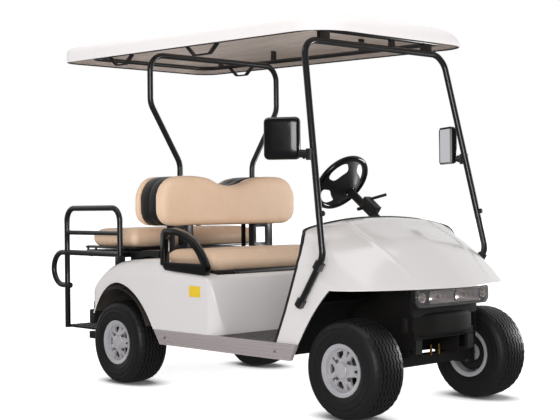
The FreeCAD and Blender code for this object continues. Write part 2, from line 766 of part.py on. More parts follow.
def rear_body():
    views = rear_body_views()
    outer = common_of(views)
    skin = outer.cut(common_of(views, size["body_wall"]))
    skin = skin.common(prism([(rear - 300, 395), (rear - 150, 395), (rear - 150, 327), (rear + 1000, 327),
                              (rear + 1000, 900), (rear - 300, 900)], "XZ", -900, 900))
    arch = [(rear - 200, 200), ((rear - 200, 380), (rear - 90, 522), (rear + 50, 563)),
            ((rear + 50, 563), (rear + 215, 492), (rear + 352, 337)), (rear + 352, 200)]
    skin = skin.cut(prism(arch, "XZ", -900, 900))
    skin = skin.cut(box((rear + 220 - gap, -505, 600), (rear + 790, 505, 900)))
    node(feature("rear_body", skin))
    pan_top = size["front_seat_base_z"] - size["seat_board"] - gap
    pan = box((rear + 150, -700, pan_top - 6), (rear + 900, 700, pan_top))
    pan = pan.common(common_of(views, size["body_wall"] + gap))
    pan = pan.cut(box((rear + 340, -340, pan_top - 50), (rear + 730, 340, pan_top + 50)))
    node(feature("seat_pan", pan))
    corner = block("bumper_corner", (f"{REAR}-283", "rail_half_span+84", "tail_rail_z+rail_depth+50"),
                   (f"{REAR}-240", "body_half_width-25", "395-seat_gap"))
    foot = block("bumper_foot", (f"{REAR}-283", "rail_half_span+84", "tail_rail_z+rail_depth+seat_gap"),
                 (f"{REAR}-240", "rail_half_span+140", "tail_rail_z+rail_depth+60"))
    bumper = joined("bumper_side", [corner, foot])
    node(gather("rear_bumper", both_sides(bumper)))
    lamp = block("lamp", (f"{REAR}-226-20", "430", "405"), (f"{REAR}-226-seat_gap", "525", "440"))
    node(gather("tail_lamps", both_sides(lamp)))


# ---------------------------------------------------------------- roof

def rail_z(x):
    """Height of the roof frame's centre line, which falls gently forward."""
    return size["roof_top"] - 78 - 0.0205 * (x - rear + 440)


def roof_views():
    wide = size["roof_half_width"]
    top = size["roof_top"]
    tail = rear - size["roof_rear"]
    tip = front - size["roof_front_back"]
    bend = 170
    near = bend * (1 - math.sqrt(0.5))
    plan = [(tail, -(wide - bend)), ((tail, -(wide - bend)), (tail + near, -(wide - near)), (tail + bend, -wide)),
            ((tip - bend, -wide), (tip - near, -(wide - near)), (tip, -(wide - bend))),
            ((tip, wide - bend), (tip - near, wide - near), (tip - bend, wide)),
            ((tail + bend, wide), (tail + near, wide - near), (tail, wide - bend))]
    side = [(tail, top - 300), (tip, top - 300), (tip, top - 62), (tip - 120, top - 28), (tip - 600, top),
            (rear + 200, top - 4), (tail + 60, top - 22), (tail, top - 36)]
    ends = [(-wide, top - 400), (wide, top - 400), (wide, top - 60), (wide - 45, top - 18), ((wide - 45, top - 18), (0, top),
            (-(wide - 45), top - 18)), (-wide, top - 60)]
    return plan, side, ends


def roof():
    views = roof_views()
    outer = common_of(views)
    inner = common_of(views, size["roof_wall"])
    top = size["roof_top"]
    lip = [(rear - 700, top - 99), (front, top - 148), (front, top + 100), (rear - 700, top + 100)]
    node(feature("roof_shell", outer.cut(inner).common(prism(lip, "XZ", -900, 900))))
    radius = size["frame_tube_radius"]
    tail = rear - 430
    tip = front - 262
    half = 450
    loop = tube([(tip, -half, rail_z(tip)), (tail, -half, rail_z(tail)), (tail, half, rail_z(tail)),
                 (tip, half, rail_z(tip))], radius, (90, 90))
    bar = rod((tip, -half, rail_z(tip)), (tip, half, rail_z(tip)), radius)
    posts = []
    for x in (tail + 130, rear + 190, (rear + front) / 2 + 60, tip - 60):
        for side in (1, -1):
            y = side * half
            post = box((x - 14, y - 10, rail_z(x)), (x + 14, y + 10, top + 50))
            posts.append(post.common(inner))
    node(feature("roof_frame", loop.fuse([bar] + posts).removeSplitter()))
    handles = []
    for x, top_half, bottom_half, sides in ((rear - 104, 112, 46, 2), (rear + 620, 130, 66, 1)):
        high = rail_z(x) - radius - gap
        low = high - 52
        strap = [(x - top_half, high), (x - bottom_half, low), (x + bottom_half, low), (x + top_half, high),
                 (x + top_half - 16, high), (x + bottom_half - 6, low + 7), (x - bottom_half + 6, low + 7),
                 (x - top_half + 16, high)]
        lifted = prism(strap, "XZ", -half - 13, 13 - half)
        lifted.rotate(V(x, 0, high), V(0, 1, 0), math.degrees(math.atan(0.0205)))
        handles += [lifted, mirrored(lifted)][:sides]
    node(feature("roof_handles", Part.makeCompound(handles)))


def front_strut_line():
    """Corners of a front strut: its foot on the cowl's flank, its knee and its top under the roof."""
    wide = size["cowl_half_width"] + size["tube_radius"] + gap
    head = V(front - 262, 506, size["roof_top"] - 174)
    knee_z = size["cowl_top"] - 169
    lean = (wide - head.y) / (head.z - knee_z)
    return [V(front - 222, wide, size["cowl_top"] - 402), V(front - 60, wide + 24 * lean, knee_z), head]


def struts():
    radius = size["tube_radius"]
    foot, knee, head = front_strut_line()
    path = [foot, knee, head] + [V(point.x, -point.y, point.z) for point in (head, knee, foot)]
    hoop = tube(path, radius, (80, 90, 90, 80))
    blocks = []
    for y, reach in ((-374, 33), (109, 15), (374, 33)):
        low = head.z + radius * 0.6
        high = rail_z(front - 262) - size["frame_tube_radius"] * 0.6
        post = box((front - 262 - 11, y - reach, low), (front - 262 + 11, y + reach, high))
        post = post.cut(rod((front - 262, -600, rail_z(front - 262)), (front - 262, 600, rail_z(front - 262)),
                            size["frame_tube_radius"] + gap))
        blocks.append(post)
    node(feature("front_struts", hoop.fuse(blocks).removeSplitter()))
    clamps = []
    leg = knee - foot
    sleeve = tube([foot - leg * 0.2, knee, head], radius + gap, (80,))
    skin_side = box((front - 400, size["cowl_half_width"] + gap, 0), (front + 100, knee.y + 40, 1000))
    for share in (0.085, 0.83):
        block_shape = box((-20, -2 * radius, -radius - 1), (20, radius + 1.5, radius + 1))
        block_shape.Placement = FreeCAD.Placement(foot + leg * share, FreeCAD.Rotation(V(0, 1, 0), -55))
        clamp = block_shape.common(skin_side).cut(sleeve)
        clamps += [clamp, mirrored(clamp)]
    node(feature("strut_clamps", Part.makeCompound(clamps)))
    x = rear + 190
    top = rail_z(x) - size["frame_tube_radius"] - radius - gap
    low = riser_top() + 0.05 * radius
    side = [(x, 266, low), (x, 268, low + 0.449 * (top - low)), (x, 468, low + 0.752 * (top - low)), (x, 468, top)]
    path = side + [(px, -py, pz) for px, py, pz in reversed(side)]
    node(feature("rear_struts", tube(path, radius, (110, 110, 90, 90, 110, 110))))


def mirrors():
    arms = []
    shells = []
    glasses = []
    table = (
        # side, angle to the cart's length, behind the front axle, out from the middle
        (1, 25, 323, 626),
        (-1, 33, 296, 620),
    )
    foot, knee, head = front_strut_line()
    root = knee + (head - knee) * 0.4615
    for side, swing, back, out in table:
        centre = V(front - back, side * out, root.z + 79)
        turn = FreeCAD.Rotation(V(0, 0, 1), -side * swing)
        block_shape = box((-86, -16, -99), (86, 16, 99))
        block_shape = block_shape.makeFillet(14, block_shape.Edges)
        near, far = sorted((-side * 8, -side * 30))
        shell = block_shape.cut(box((-76, near, -89), (76, far, 89)))
        near, far = sorted((-side * (8 + gap), -side * 14))
        glass = box((gap - 76, near, gap - 89), (76 - gap, far, 89 - gap))
        place_at = FreeCAD.Placement(centre, turn)
        arm = rod(V(root.x, side * root.y, root.z), place_at.multVec(V(60, 0, -70)), 8)
        block_shape.Placement = place_at
        strut = rod((knee.x, side * knee.y, knee.z), (head.x, side * head.y, head.z), size["tube_radius"] + gap)
        arm = arm.cut(block_shape).cut(strut)
        arms.append(max(arm.Solids, key=lambda solid: solid.Volume))
        shell.Placement = place_at
        glass.Placement = place_at
        shells.append(shell)
        glasses.append(glass)
    return arms, shells, glasses


# ---------------------------------------------------------------- seats

def cushion(label, x, z, length, width, height, radius):
    """A plain upholstered block: its place is its rear lower edge's middle."""
    body = new_body(label)
    corners = ((f"0-({width})/2", "0"), (f"({width})/2", "0"), (f"({width})/2", height), (f"0-({width})/2", height))
    sketch = outline(body, label + "_front", "YZ_Plane", corners, f"({length})/2")
    block_pad = pad(body, label + "_pad", sketch, length)
    rounded(body, label + "_round", block_pad, ((V(0, 0, 1), 10),), radius)
    return place(body, x, 0, z)


def backrest(x, thick, inset=0):
    """A backrest pad with a raised hump behind each sitter, or its shell set in from the pad's edge."""
    wide = size["front_back_width"] / 2
    low = size["back_base_z"]
    tall = size["front_back_height"]
    top = low + tall
    shape = [((-(wide - 95), low), (-(wide - 28), low + 28), (-wide, low + 95)),
             ((-wide, top - 130), (-(wide - 48), top - 38), (-(wide - 150), top - 4)),
             ((-(wide - 150), top - 4), (-200, top - 6), (-110, top - 34)),
             ((-110, top - 34), (0, top - 52), (110, top - 34)),
             ((110, top - 34), (200, top - 6), (wide - 150, top - 4)),
             ((wide - 150, top - 4), (wide - 48, top - 38), (wide, top - 130)),
             ((wide, low + 95), (wide - 28, low + 28), (wide - 95, low))]
    return prism(shape, "YZ", min(x, x + thick), max(x, x + thick), inset)


def hinge(x, z, y, foot, leaf_end):
    """A pair of pin hinges along Y: fixed lugs with their pins, and the moving eyes with their leaves."""
    lugs = []
    eyes = []
    for side in (1, -1):
        middle = side * (y + 25)
        parts = [rod((x, middle - 30, z), (x, middle + 30, z), 5)]
        for end in (-30, 24):
            parts.append(rod((x, middle + end, z), (x, middle + end + 6, z), 8))
            parts.append(box((x - 8, middle + end, foot), (x + 8, middle + end + 6, z)))
        lugs.append(parts[0].fuse(parts[1:]).removeSplitter())
        eye = rod((x, middle - 23.4, z), (x, middle + 23.4, z), 8)
        low, high = sorted((x, leaf_end))
        leaf_plate = box((low, middle - 23.4, z - 3), (high, middle + 23.4, z + 3))
        bore = rod((x, middle - 40, z), (x, middle + 40, z), 5 + size["shaft_clearance"])
        eyes.append(eye.fuse(leaf_plate).cut(bore))
    return lugs, eyes


def riser_top():
    return size["rear_deck_z"] - 5


def seats():
    base = size["front_seat_base_z"]
    board = box((rear + 300, 20 - size["front_seat_width"] / 2, base - size["seat_board"]),
                (rear + 288 + size["front_seat_length"], size["front_seat_width"] / 2 - 20, base))
    pan_top = base - size["seat_board"] - gap
    pivot_x = rear + size["front_seat_length"] + 306
    lugs, eyes = hinge(pivot_x, base - 14, 300, pan_top, pivot_x - 30)
    fixed_lugs = list(lugs)
    node(feature("front_seat_board", board.fuse(eyes).removeSplitter()))
    node(cushion("front_seat_cushion", f"{REAR}+300", "front_seat_base_z+seat_gap", "front_seat_length",
                 "front_seat_width", "front_seat_height", 60))
    low = size["rear_deck_z"]
    deck = box((rear - 466, 8 - size["rear_seat_width"] / 2, low),
               (rear + 20, size["rear_seat_width"] / 2 - 8, low + size["deck_thickness"]))
    lugs, eyes = hinge(rear - 484, low + size["deck_thickness"] / 2, 380, low - 10, rear - 460)
    node(feature("seat_hinges", Part.makeCompound(fixed_lugs + lugs)))
    node(feature("rear_seat_deck", deck.fuse(eyes).removeSplitter()))
    node(cushion("rear_seat_cushion", f"{REAR}-430", "rear_deck_z+deck_thickness+seat_gap", "rear_seat_length",
                 "rear_seat_width", "rear_seat_height", 60))
    high = riser_top()
    ring = box((rear - 40, -445, 560), (rear + 220, 445, high - 6))
    ring = ring.cut(box((rear - 34, -439, 500), (rear + 214, 439, 800)))
    lid = box((rear + 60, -445, high - 6), (rear + 220, 445, high))
    ring = ring.fuse(lid).cut(common_of(rear_body_views()))
    node(feature("seat_riser", ring.removeSplitter()))
    brackets = []
    foot = riser_top()
    tip = size["back_base_z"] + 208
    for side in (1, -1):
        low, high = sorted((side * 210, side * 388))
        plate = box((rear + 220, low, foot - 53), (rear + 230, high, tip))
        low, high = sorted((side * 262, side * 336))
        plate = plate.cut(box((rear + 200, low, foot + 27), (rear + 250, high, foot + 117)))
        low, high = sorted((side * 213, side * 240))
        stay = box((rear + 150, low, foot), (rear + 160, high, tip))
        brackets += [plate, stay]
    node(feature("backrest_brackets", Part.makeCompound(brackets)))
    thick = size["back_thickness"]
    shell = size["back_shell"]
    face = rear + 230 + gap
    tail = rear + 150 - gap
    node(feature("backrest_shells", Part.makeCompound([backrest(face, shell, 24), backrest(tail, -shell, 24)])))
    node(feature("backrest_cushions", Part.makeCompound([backrest(face + shell + gap, thick),
                                                         backrest(tail - shell - gap, -thick)])))


def armrests():
    ring = [(rear + 440, 625), (rear + 770, 610), (rear + 782, 668),
            ((rear + 782, 668), (rear + 655, 812), (rear + 450, 860)),
            ((rear + 450, 860), (rear + 420, 850), (rear + 405, 820)), (rear + 403, 672)]
    hole = [(rear + 440, 682), (rear + 738, 682), ((rear + 738, 682), (rear + 632, 790), (rear + 468, 824)),
            ((rear + 468, 824), (rear + 448, 818), (rear + 440, 800))]
    low = 540
    arm = prism(ring, "XZ", low, low + 34).cut(prism(hole, "XZ", low - 5, low + 40))
    arm = arm.cut(common_of(rear_body_views()))
    node(feature("armrests", Part.makeCompound([arm, mirrored(arm)])))


def rear_platform():
    under = size["rear_deck_z"] - 10 - 12
    shelf = box((rear - 493, -440, under), (rear - 40, 440, under + 12))
    reach = size["handrail_half_span"] - size["tube_radius"] - gap
    bars = [box((x, -reach, under - 26), (x + 30, reach, under)) for x in (rear - 400, rear - 120)]
    node(feature("rear_seat_frame", shelf.fuse(bars).removeSplitter()))


def handrails():
    radius = size["tube_radius"]
    y = size["handrail_half_span"]
    top = size["handrail_top"] - radius
    back = rear - 605
    fore = rear - 65
    hoop = tube([(back, y, size["footplate_z"]), (back, y, top), (fore, y, top), (fore, y, 640)],
                radius, (75, 75))
    bar = rod((back, y, 827), (fore, y, 827), 13)
    tail = rear - size["rear_overhang"] + radius
    middle = 612
    reach = 97
    straight = V(tail + reach, y, middle + reach)
    bend_end = V(tail + reach, y, middle - reach)
    edges = [Part.LineSegment(V(fore, y, middle + reach), straight).toShape(),
             Part.Arc(straight, V(tail, y, middle), bend_end).toShape(),
             Part.LineSegment(bend_end, V(back + 32, y, middle - reach)).toShape()]
    section = Part.Wire(Part.makeCircle(radius, V(fore, y, middle + reach), V(-1, 0, 0)))
    side_rail = Part.Wire(edges).makePipeShell([section], True, False)
    foot = box((fore - 24, y - 18, 560), (fore + 24, y + 18, 700))
    whole = hoop.fuse([bar, side_rail, foot]).cut(common_of(rear_body_views()))
    whole = max(whole.Solids, key=lambda solid: solid.Volume)
    node(feature("rear_handrails", Part.makeCompound([whole, mirrored(whole)])))
    plate = block("footplate_sheet", (f"{REAR}-640", "0-handrail_half_span+tube_radius+0.5", "footplate_z"),
                  (f"{REAR}-290", "handrail_half_span-tube_radius-0.5", "footplate_z+12"))
    holes = []
    for number, (x, y) in enumerate(((1, 1), (1, -1), (-1, 1), (-1, -1))):
        hole = doc.addObject("Part::Cylinder", f"accessory_hole_{number}")
        hole.setExpression("Radius", bound("accessory_hole_radius"))
        hole.Height = 60
        place(hole, f"{REAR}-465+({x})*accessory_span_x/2", f"({y})*accessory_span_y/2", "footplate_z-20")
        holes.append(hole)
    node(cut("footplate", plate, gather("accessory_holes", holes)))


def export():
    doc.recompute()
    for item in doc.Objects:
        if "Invalid" in item.State or "Error" in item.State:
            raise RuntimeError(f"{item.Label} did not build: {item.State}")
    os.makedirs("parts", exist_ok=True)
    faulty = [item.Label for item in nodes
              if item.Shape.isNull() or not item.Shape.isValid() or not item.Shape.Solids]
    if faulty:
        raise RuntimeError("not valid solids: " + ", ".join(faulty))
    for item in nodes:
        item.Shape.exportStep(os.path.join("parts", item.Label + ".step"))


wheels()
rails()
crossmembers()
floor_and_battery()
driver_controls()
steering_wheel()
front_axle()
knuckle("knuckle_left", 1, False)
knuckle("knuckle_right", -1, True)
tie_rod()
springs()
rear_drive()
front_cowl()
liners()
rear_body()
roof()
struts()
arms, shells, glasses = mirrors()
node(feature("mirror_arms", Part.makeCompound(arms)))
node(feature("mirror_housings", Part.makeCompound(shells)))
node(feature("mirror_glasses", Part.makeCompound(glasses)))
seats()
armrests()
rear_platform()
handrails()
export()
for item in nodes:
    print(f"{item.Label}: {len(item.Shape.Solids)} solids, {item.Shape.BoundBox}")
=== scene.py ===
"""A four-seat golf cart's visible skin, upholstery, trim and finishes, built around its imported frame."""
import json
import math

import bmesh
import bpy
from mathutils import Matrix, Vector

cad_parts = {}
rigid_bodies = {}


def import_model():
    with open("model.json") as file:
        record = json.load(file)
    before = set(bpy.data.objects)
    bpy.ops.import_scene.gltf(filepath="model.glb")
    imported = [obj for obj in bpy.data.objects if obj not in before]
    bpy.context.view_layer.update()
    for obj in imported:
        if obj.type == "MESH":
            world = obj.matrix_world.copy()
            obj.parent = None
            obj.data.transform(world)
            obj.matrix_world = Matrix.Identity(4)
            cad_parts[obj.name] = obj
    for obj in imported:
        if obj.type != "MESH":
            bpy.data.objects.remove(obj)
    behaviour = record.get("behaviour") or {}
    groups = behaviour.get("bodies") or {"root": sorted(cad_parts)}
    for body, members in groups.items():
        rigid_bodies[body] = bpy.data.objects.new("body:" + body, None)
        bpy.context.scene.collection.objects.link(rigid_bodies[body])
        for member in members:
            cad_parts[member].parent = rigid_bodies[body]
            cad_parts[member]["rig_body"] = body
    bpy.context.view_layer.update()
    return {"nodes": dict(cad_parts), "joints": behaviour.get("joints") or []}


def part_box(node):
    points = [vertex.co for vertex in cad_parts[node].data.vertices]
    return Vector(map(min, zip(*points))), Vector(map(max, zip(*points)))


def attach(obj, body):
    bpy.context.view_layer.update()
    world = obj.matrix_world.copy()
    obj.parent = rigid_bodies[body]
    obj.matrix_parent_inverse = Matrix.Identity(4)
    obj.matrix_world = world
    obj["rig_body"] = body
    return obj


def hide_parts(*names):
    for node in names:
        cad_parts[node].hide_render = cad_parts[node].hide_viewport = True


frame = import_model()

MM = 0.001
CART = "cart"
SIDES = (("left", 1), ("right", -1))


def middle(node):
    """The middle of a CAD node's box."""
    low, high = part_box(node)
    return (low + high) / 2


REAR_AXLE = middle("tyre_rear_left").x
FRONT_AXLE = middle("tyre_front_left").x
HUB_HEIGHT = middle("tyre_front_left").z / MM
WHEELBASE = (FRONT_AXLE - REAR_AXLE) / MM


def spot(x, y, z):
    """A place in metres from millimetres ahead of the rear axle, left of the middle and above the ground."""
    return Vector((REAR_AXLE + x * MM, y * MM, z * MM))


# ---------------------------------------------------------------- finishes

def linear(hex_colour):
    """The linear RGBA of an sRGB hex colour."""
    parts = [int(hex_colour[i:i + 2], 16) / 255 for i in (0, 2, 4)]
    return [c / 12.92 if c <= 0.04045 else ((c + 0.055) / 1.055) ** 2.4 for c in parts] + [1.0]


def add(material, kind, links=None, **settings):
    """Adds one node. Settings are its properties; links maps an input to a value or another node's output."""
    node = material.node_tree.nodes.new(kind)
    for name, value in settings.items():
        setattr(node, name, value)
    for socket, value in (links or {}).items():
        if isinstance(value, bpy.types.NodeSocket):
            material.node_tree.links.new(value, node.inputs[socket])
        else:
            node.inputs[socket].default_value = value
    return node


NOISE = "ShaderNodeTexNoise"
CELLS = "ShaderNodeTexVoronoi"


def pattern(material, kind, period_mm, stretch=None, settings=None, **inputs):
    """A texture's value over the piece's own coordinates. Its period is a real size in millimetres."""
    place = add(material, "ShaderNodeTexCoord").outputs["Object"]
    if stretch:
        drawn = add(material, "ShaderNodeVectorMath", {0: place, 1: stretch}, operation="MULTIPLY")
        place = drawn.outputs["Vector"]
    inputs.update({"Vector": place, "Scale": 1000 / period_mm})
    texture = add(material, kind, inputs, **(settings or {}))
    return texture.outputs["Distance" if kind == CELLS else "Fac"]


def finish(name, colour, roughness, drift=None, tones=None, gloss=None, relief=(), depth_mm=0.0,
           strength=1.0, **sockets):
    """A principled surface. What is the same all over sits on the shader's own sockets.

    The colour drifts between two tones, and the roughness between the two values of gloss, along the drift
    pattern. The relief patterns add up and raise the surface by a depth in millimetres.
    """
    material = bpy.data.materials.new(name)
    material.use_nodes = True
    join = material.node_tree.links.new
    shader = material.node_tree.nodes["Principled BSDF"]
    shader.inputs["Base Color"].default_value = linear(colour)
    shader.inputs["Roughness"].default_value = roughness
    for socket, value in sockets.items():
        shader.inputs[socket.replace("_", " ")].default_value = value
    value = pattern(material, **drift) if drift else None
    if tones:
        mix = add(material, "ShaderNodeMix", {"Factor": value, "A": linear(tones[0]), "B": linear(tones[1])},
                  data_type="RGBA")
        join(mix.outputs["Result"], shader.inputs["Base Color"])
    if gloss:
        span = add(material, "ShaderNodeMapRange", {"Value": value, "To Min": gloss[0], "To Max": gloss[1]})
        join(span.outputs["Result"], shader.inputs["Roughness"])
    height = None
    for layer in relief:
        level = pattern(material, **layer)
        if height is not None:
            level = add(material, "ShaderNodeMath", {0: height, 1: level}, operation="ADD").outputs["Value"]
        height = level
    if height is not None:
        bump = add(material, "ShaderNodeBump", {"Height": height, "Distance": depth_mm * MM,
                                                "Strength": strength})
        join(bump.outputs["Normal"], shader.inputs["Normal"])
    return material


def noise(period_mm, detail=4.0, share=0.5, **more):
    """What a noise pattern is: its period in millimetres, its fine detail and the weight of that detail."""
    return dict(kind=NOISE, period_mm=period_mm, Detail=detail, Roughness=share, **more)


def cells(period_mm, **more):
    """What a pattern of cells is, such as a pebble grain."""
    return dict(kind=CELLS, period_mm=period_mm, **more)


def gloss_white_abs():
    """Thermoformed ABS with a glossy acrylic cap: clear bright reflections with a faint orange peel.

    The peel is drawn coarser than it is, so that it shows.
    """
    return finish("gloss white ABS", "d7d3d2", 0.2, noise(420), ("d9d5d4", "d3cfce"), (0.18, 0.26),
                  [noise(14, 1.0)], 0.05, 0.25, IOR=1.5, Coat_Weight=0.5, Coat_Roughness=0.09)


def satin_white_abs():
    """The roof's outer skin: thermoformed ABS left satin, so the sky lies on it as an even white.

    Its texture is drawn coarser than it is, so that it shows.
    """
    return finish("satin white ABS", "e6e2e1", 0.42, noise(500), ("e8e4e3", "e3dfde"), (0.38, 0.48),
                  [noise(16, 1.0)], 0.05, 0.25, IOR=1.45)


def roof_lining():
    """The roof's textured inner face: matt beige grey, drawn into soft ridges along the roof."""
    return finish("textured ABS lining", "b3a69c", 0.5, noise(1000, 4.0, 0.6, stretch=(2.2, 16.0, 2.0)),
                  ("968981", "d2c6bd"), None, [noise(5, 3.0)], 0.5, 0.6)


def black_powder_coat():
    """Glossy black powder coat on bent steel tube: deep black with a slight orange peel.

    The peel is drawn coarser than it is, so that it shows.
    """
    return finish("gloss black powder coat", "131316", 0.3, noise(60), ("17171a", "0f0f12"), (0.26, 0.38),
                  [noise(9, 1.0)], 0.03, 0.08, Coat_Weight=0.4, Coat_Roughness=0.18)


def moulded_black_plastic():
    """Injection-moulded polypropylene with a leather-like spark-eroded grain: soft dark grey sheen.

    The grain is drawn coarser than it is, so that it shows.
    """
    return finish("grained black polypropylene", "1b1b1d", 0.42, noise(90), ("1f1f21", "161618"),
                  (0.36, 0.52), [cells(2.2)], 0.12, 0.5)


def gloss_black_plastic():
    """Polished black ABS, as on the armrests and mirrors: sharp highlights on deep black."""
    return finish("polished black ABS", "0a0a0c", 0.14, noise(120), ("0d0d0f", "070709"), (0.1, 0.22),
                  Coat_Weight=0.3, Coat_Roughness=0.05)


def tyre_rubber():
    """Vulcanised carbon-black rubber: nearly black, matt, with a dusty bloom on the raised parts."""
    return finish("vulcanised tyre rubber", "181718", 0.45, noise(45), ("1b1a1b", "121112"), (0.36, 0.58),
                  [noise(1.6, 2.0)], 0.12, 0.4, Specular_IOR_Level=0.45)


def silver_wheel_paint():
    """Silver metallic lacquer on a cast wheel: bright grey under a clear coat.

    The flakes are drawn far coarser than they are, so that they show.
    """
    return finish("silver metallic lacquer", "c2c0c4", 0.36, noise(1.2), ("cac8cc", "b4b2b6"), (0.28, 0.4),
                  Metallic=0.4, Coat_Weight=0.5, Coat_Roughness=0.1)


def tan_vinyl():
    """Expanded vinyl upholstery in tan: fine pebble grain, soft sheen and slow wrinkles.

    The pebbles are drawn coarser than they are, so that they show.
    """
    pebbles = cells(2.4, settings={"feature": "SMOOTH_F1"})
    wrinkles = noise(90, 3.0, Distortion=0.6)
    return finish("tan grained vinyl", "ebccb0", 0.44, noise(190, share=0.8), ("efd0b4", "e0be9f"),
                  (0.44, 0.56), [pebbles, wrinkles], 0.5, 0.35, Sheen_Weight=0.08, Sheen_Roughness=0.4)


def ribbed_aluminium():
    """Extruded and clear-anodised aluminium: satin grey with fine draw lines along the extrusion."""
    lines = noise(1000, 2.0, stretch=(2.0, 500.0, 900.0))
    return finish("anodised aluminium extrusion", "b0a6a7", 0.42, lines, None, (0.3, 0.5), [lines], 0.05, 0.4,
                  Metallic=0.3)


def rubber_matting():
    """Moulded rubber mat: dark grey and matt with a dry bloom."""
    return finish("ribbed rubber matting", "5a5755", 0.75, noise(70), ("625f5c", "4c4a48"), (0.68, 0.85))


def clear_lens():
    """Clear polycarbonate lamp cover: colourless and polished, with slow flutes across it."""
    flutes = dict(kind="ShaderNodeTexWave", period_mm=160, Distortion=0.0,
                  settings={"wave_type": "BANDS", "bands_direction": "Y"})
    return finish("clear polycarbonate", "f8f4f4", 0.06, relief=[flutes], depth_mm=0.5, strength=0.25,
                  IOR=1.45, Transmission_Weight=0.96)


def red_lens():
    """Red acrylic tail-lamp lens, pressed with small prisms that break up the light."""
    prisms = dict(kind="ShaderNodeTexChecker", period_mm=8)
    return finish("red acrylic", "a3151a", 0.12, relief=[prisms], depth_mm=0.3, strength=0.4, Coat_Weight=0.4)


def silvered_glass():
    """Mirror glass: a clean silver reflection."""
    return finish("silvered mirror glass", "c4c2c6", 0.03, noise(60, 2.0), None, (0.02, 0.06), Metallic=1.0)


def chassis_paint():
    """Satin black chassis enamel with road dust settled on it."""
    return finish("satin black chassis enamel", "101010", 0.6, noise(35, share=0.7), ("121212", "1a1816"),
                  (0.5, 0.75), [noise(4)], 0.15, 0.5)


def liner_plastic():
    """Matt black polyethylene sheet under the nose and the arches: almost no shine, a little road dust."""
    return finish("black polyethylene sheet", "0e0d0d", 0.7, noise(60, share=0.6), ("100f0f", "191614"),
                  Specular_IOR_Level=0.25)


def painted_lit_liner():
    """The rear arch sheet: the same polyethylene, painted a lighter grey-brown that stands in for the light
    falling into the rear arches.
    """
    return finish("painted-lit polyethylene sheet", "47433f", 0.8, noise(90, share=0.7), ("524d48", "332f2d"),
                  Specular_IOR_Level=0.25)


def cast_iron():
    """Bare iron casting, darkened by oil, with a coarse sand-cast skin."""
    return finish("sand-cast iron", "3c3a38", 0.55, noise(24, share=0.7), ("45423f", "2d2a28"), None,
                  [noise(3, 5.0)], 0.35, 0.7, Metallic=0.7)


def plated_bolt_steel():
    """Zinc-plated steel fasteners: light grey metal, slightly dulled."""
    return finish("zinc-plated steel", "a9a7a2", 0.34, noise(12), ("b3b1ac", "8f8c86"), Metallic=1.0)


def passivated_brass():
    """Yellow-passivated steel bolts under the nose: warm gold metal."""
    return finish("yellow-passivated steel", "b98f3e", 0.32, noise(10), ("c59a48", "9b7430"), Metallic=1.0)


def polished_reflector():
    """Vacuum-metallised lamp reflector: mirror silver over a painted near-white, which keeps it bright where
    it would mirror a dark room; faceted to spread the light.
    """
    # painted reflection: the part left unmetallic is near-white, standing in for the bright reflections of a
    # real reflector
    return finish("metallised reflector", "f2eeee", 0.17, relief=[cells(22)], depth_mm=1.2, strength=0.35,
                  Metallic=0.75)


def yellow_film():
    """A blank patch of matt yellow vinyl film."""
    return finish("yellow vinyl film", "e6c31c", 0.4, noise(30), ("e8c620", "dcb614"))


def frosted_lamp_glass():
    """Frosted glass of the small bulbs: a milky warm white."""
    return finish("frosted lamp glass", "e9dfd2", 0.25, noise(14), ("eee6da", "dccbb4"), Coat_Weight=0.5)


# The finishes of each of the record's material slots. CAD nodes that stay in view wear the first one.
SLOT_FINISHES = {
    "body_white": (gloss_white_abs, yellow_film),
    "roof_white": (roof_lining, satin_white_abs),
    "black_steel": (black_powder_coat,),
    "black_plastic": (moulded_black_plastic, gloss_black_plastic, liner_plastic, painted_lit_liner),
    "tyre": (tyre_rubber,),
    "rim_silver": (silver_wheel_paint,),
    "tan_vinyl": (tan_vinyl,),
    "aluminium": (ribbed_aluminium, plated_bolt_steel),
    "rubber_mat": (rubber_matting,),
    "clear_lens": (clear_lens, frosted_lamp_glass),
    "red_lens": (red_lens,),
    "mirror_glass": (silvered_glass, polished_reflector),
    "chassis_black": (chassis_paint,),
    "cast_metal": (cast_iron, passivated_brass),
}
FINISHES = {}
for slot_name, makers in SLOT_FINISHES.items():
    for maker in makers:
        FINISHES[maker.__name__] = maker()


# ---------------------------------------------------------------- mesh helpers

def piece(name, mesh, finish_name, body=CART, smooth=35, replaces=()):
    """Puts a finished mesh on a body; edges sharper than the smooth angle stay crisp."""
    item = bpy.data.objects.new(name, mesh)
    bpy.context.scene.collection.objects.link(item)
    mesh.materials.append(FINISHES[finish_name])
    mesh.shade_smooth()
    mesh.set_sharp_from_angle(angle=math.radians(smooth))
    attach(item, body)
    if replaces:
        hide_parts(*replaces)
    return item


def mesh_of(name, points, faces):
    """A mesh from points in metres and faces as numbers of points."""
    mesh = bpy.data.meshes.new(name)
    mesh.from_pydata([tuple(point) for point in points], [], faces)
    mesh.update()
    return mesh


def lattice(rows, wrap_rows=False, wrap_columns=False):
    """Points and quads of a grid given as rows of equal length."""
    height = len(rows)
    width = len(rows[0])
    points = [point for row in rows for point in row]
    faces = []
    for i in range(height if wrap_rows else height - 1):
        here = i * width
        after = ((i + 1) % height) * width
        for j in range(width if wrap_columns else width - 1):
            k = (j + 1) % width
            faces.append((here + j, here + k, after + k, after + j))
    return points, faces


def from_bmesh(name, work):
    """The mesh of a finished bmesh, all its faces looking outward."""
    bmesh.ops.recalc_face_normals(work, faces=work.faces)
    mesh = bpy.data.meshes.new(name)
    work.to_mesh(mesh)
    work.free()
    return mesh


def outward(name, points, faces):
    """The same with its faces looking outward."""
    work = bmesh.new()
    work.from_mesh(mesh_of(name, points, faces))
    return from_bmesh(name, work)


def lofted(name, rings, start_closed=True):
    """A skin through rings of points, with a face over its last ring and, if asked, over its first."""
    points, faces = lattice(rings, wrap_columns=True)
    count = len(rings[0])
    if start_closed:
        faces.append(tuple(range(count)))
    faces.append(tuple(range(len(points) - count, len(points))))
    return outward(name, points, faces)


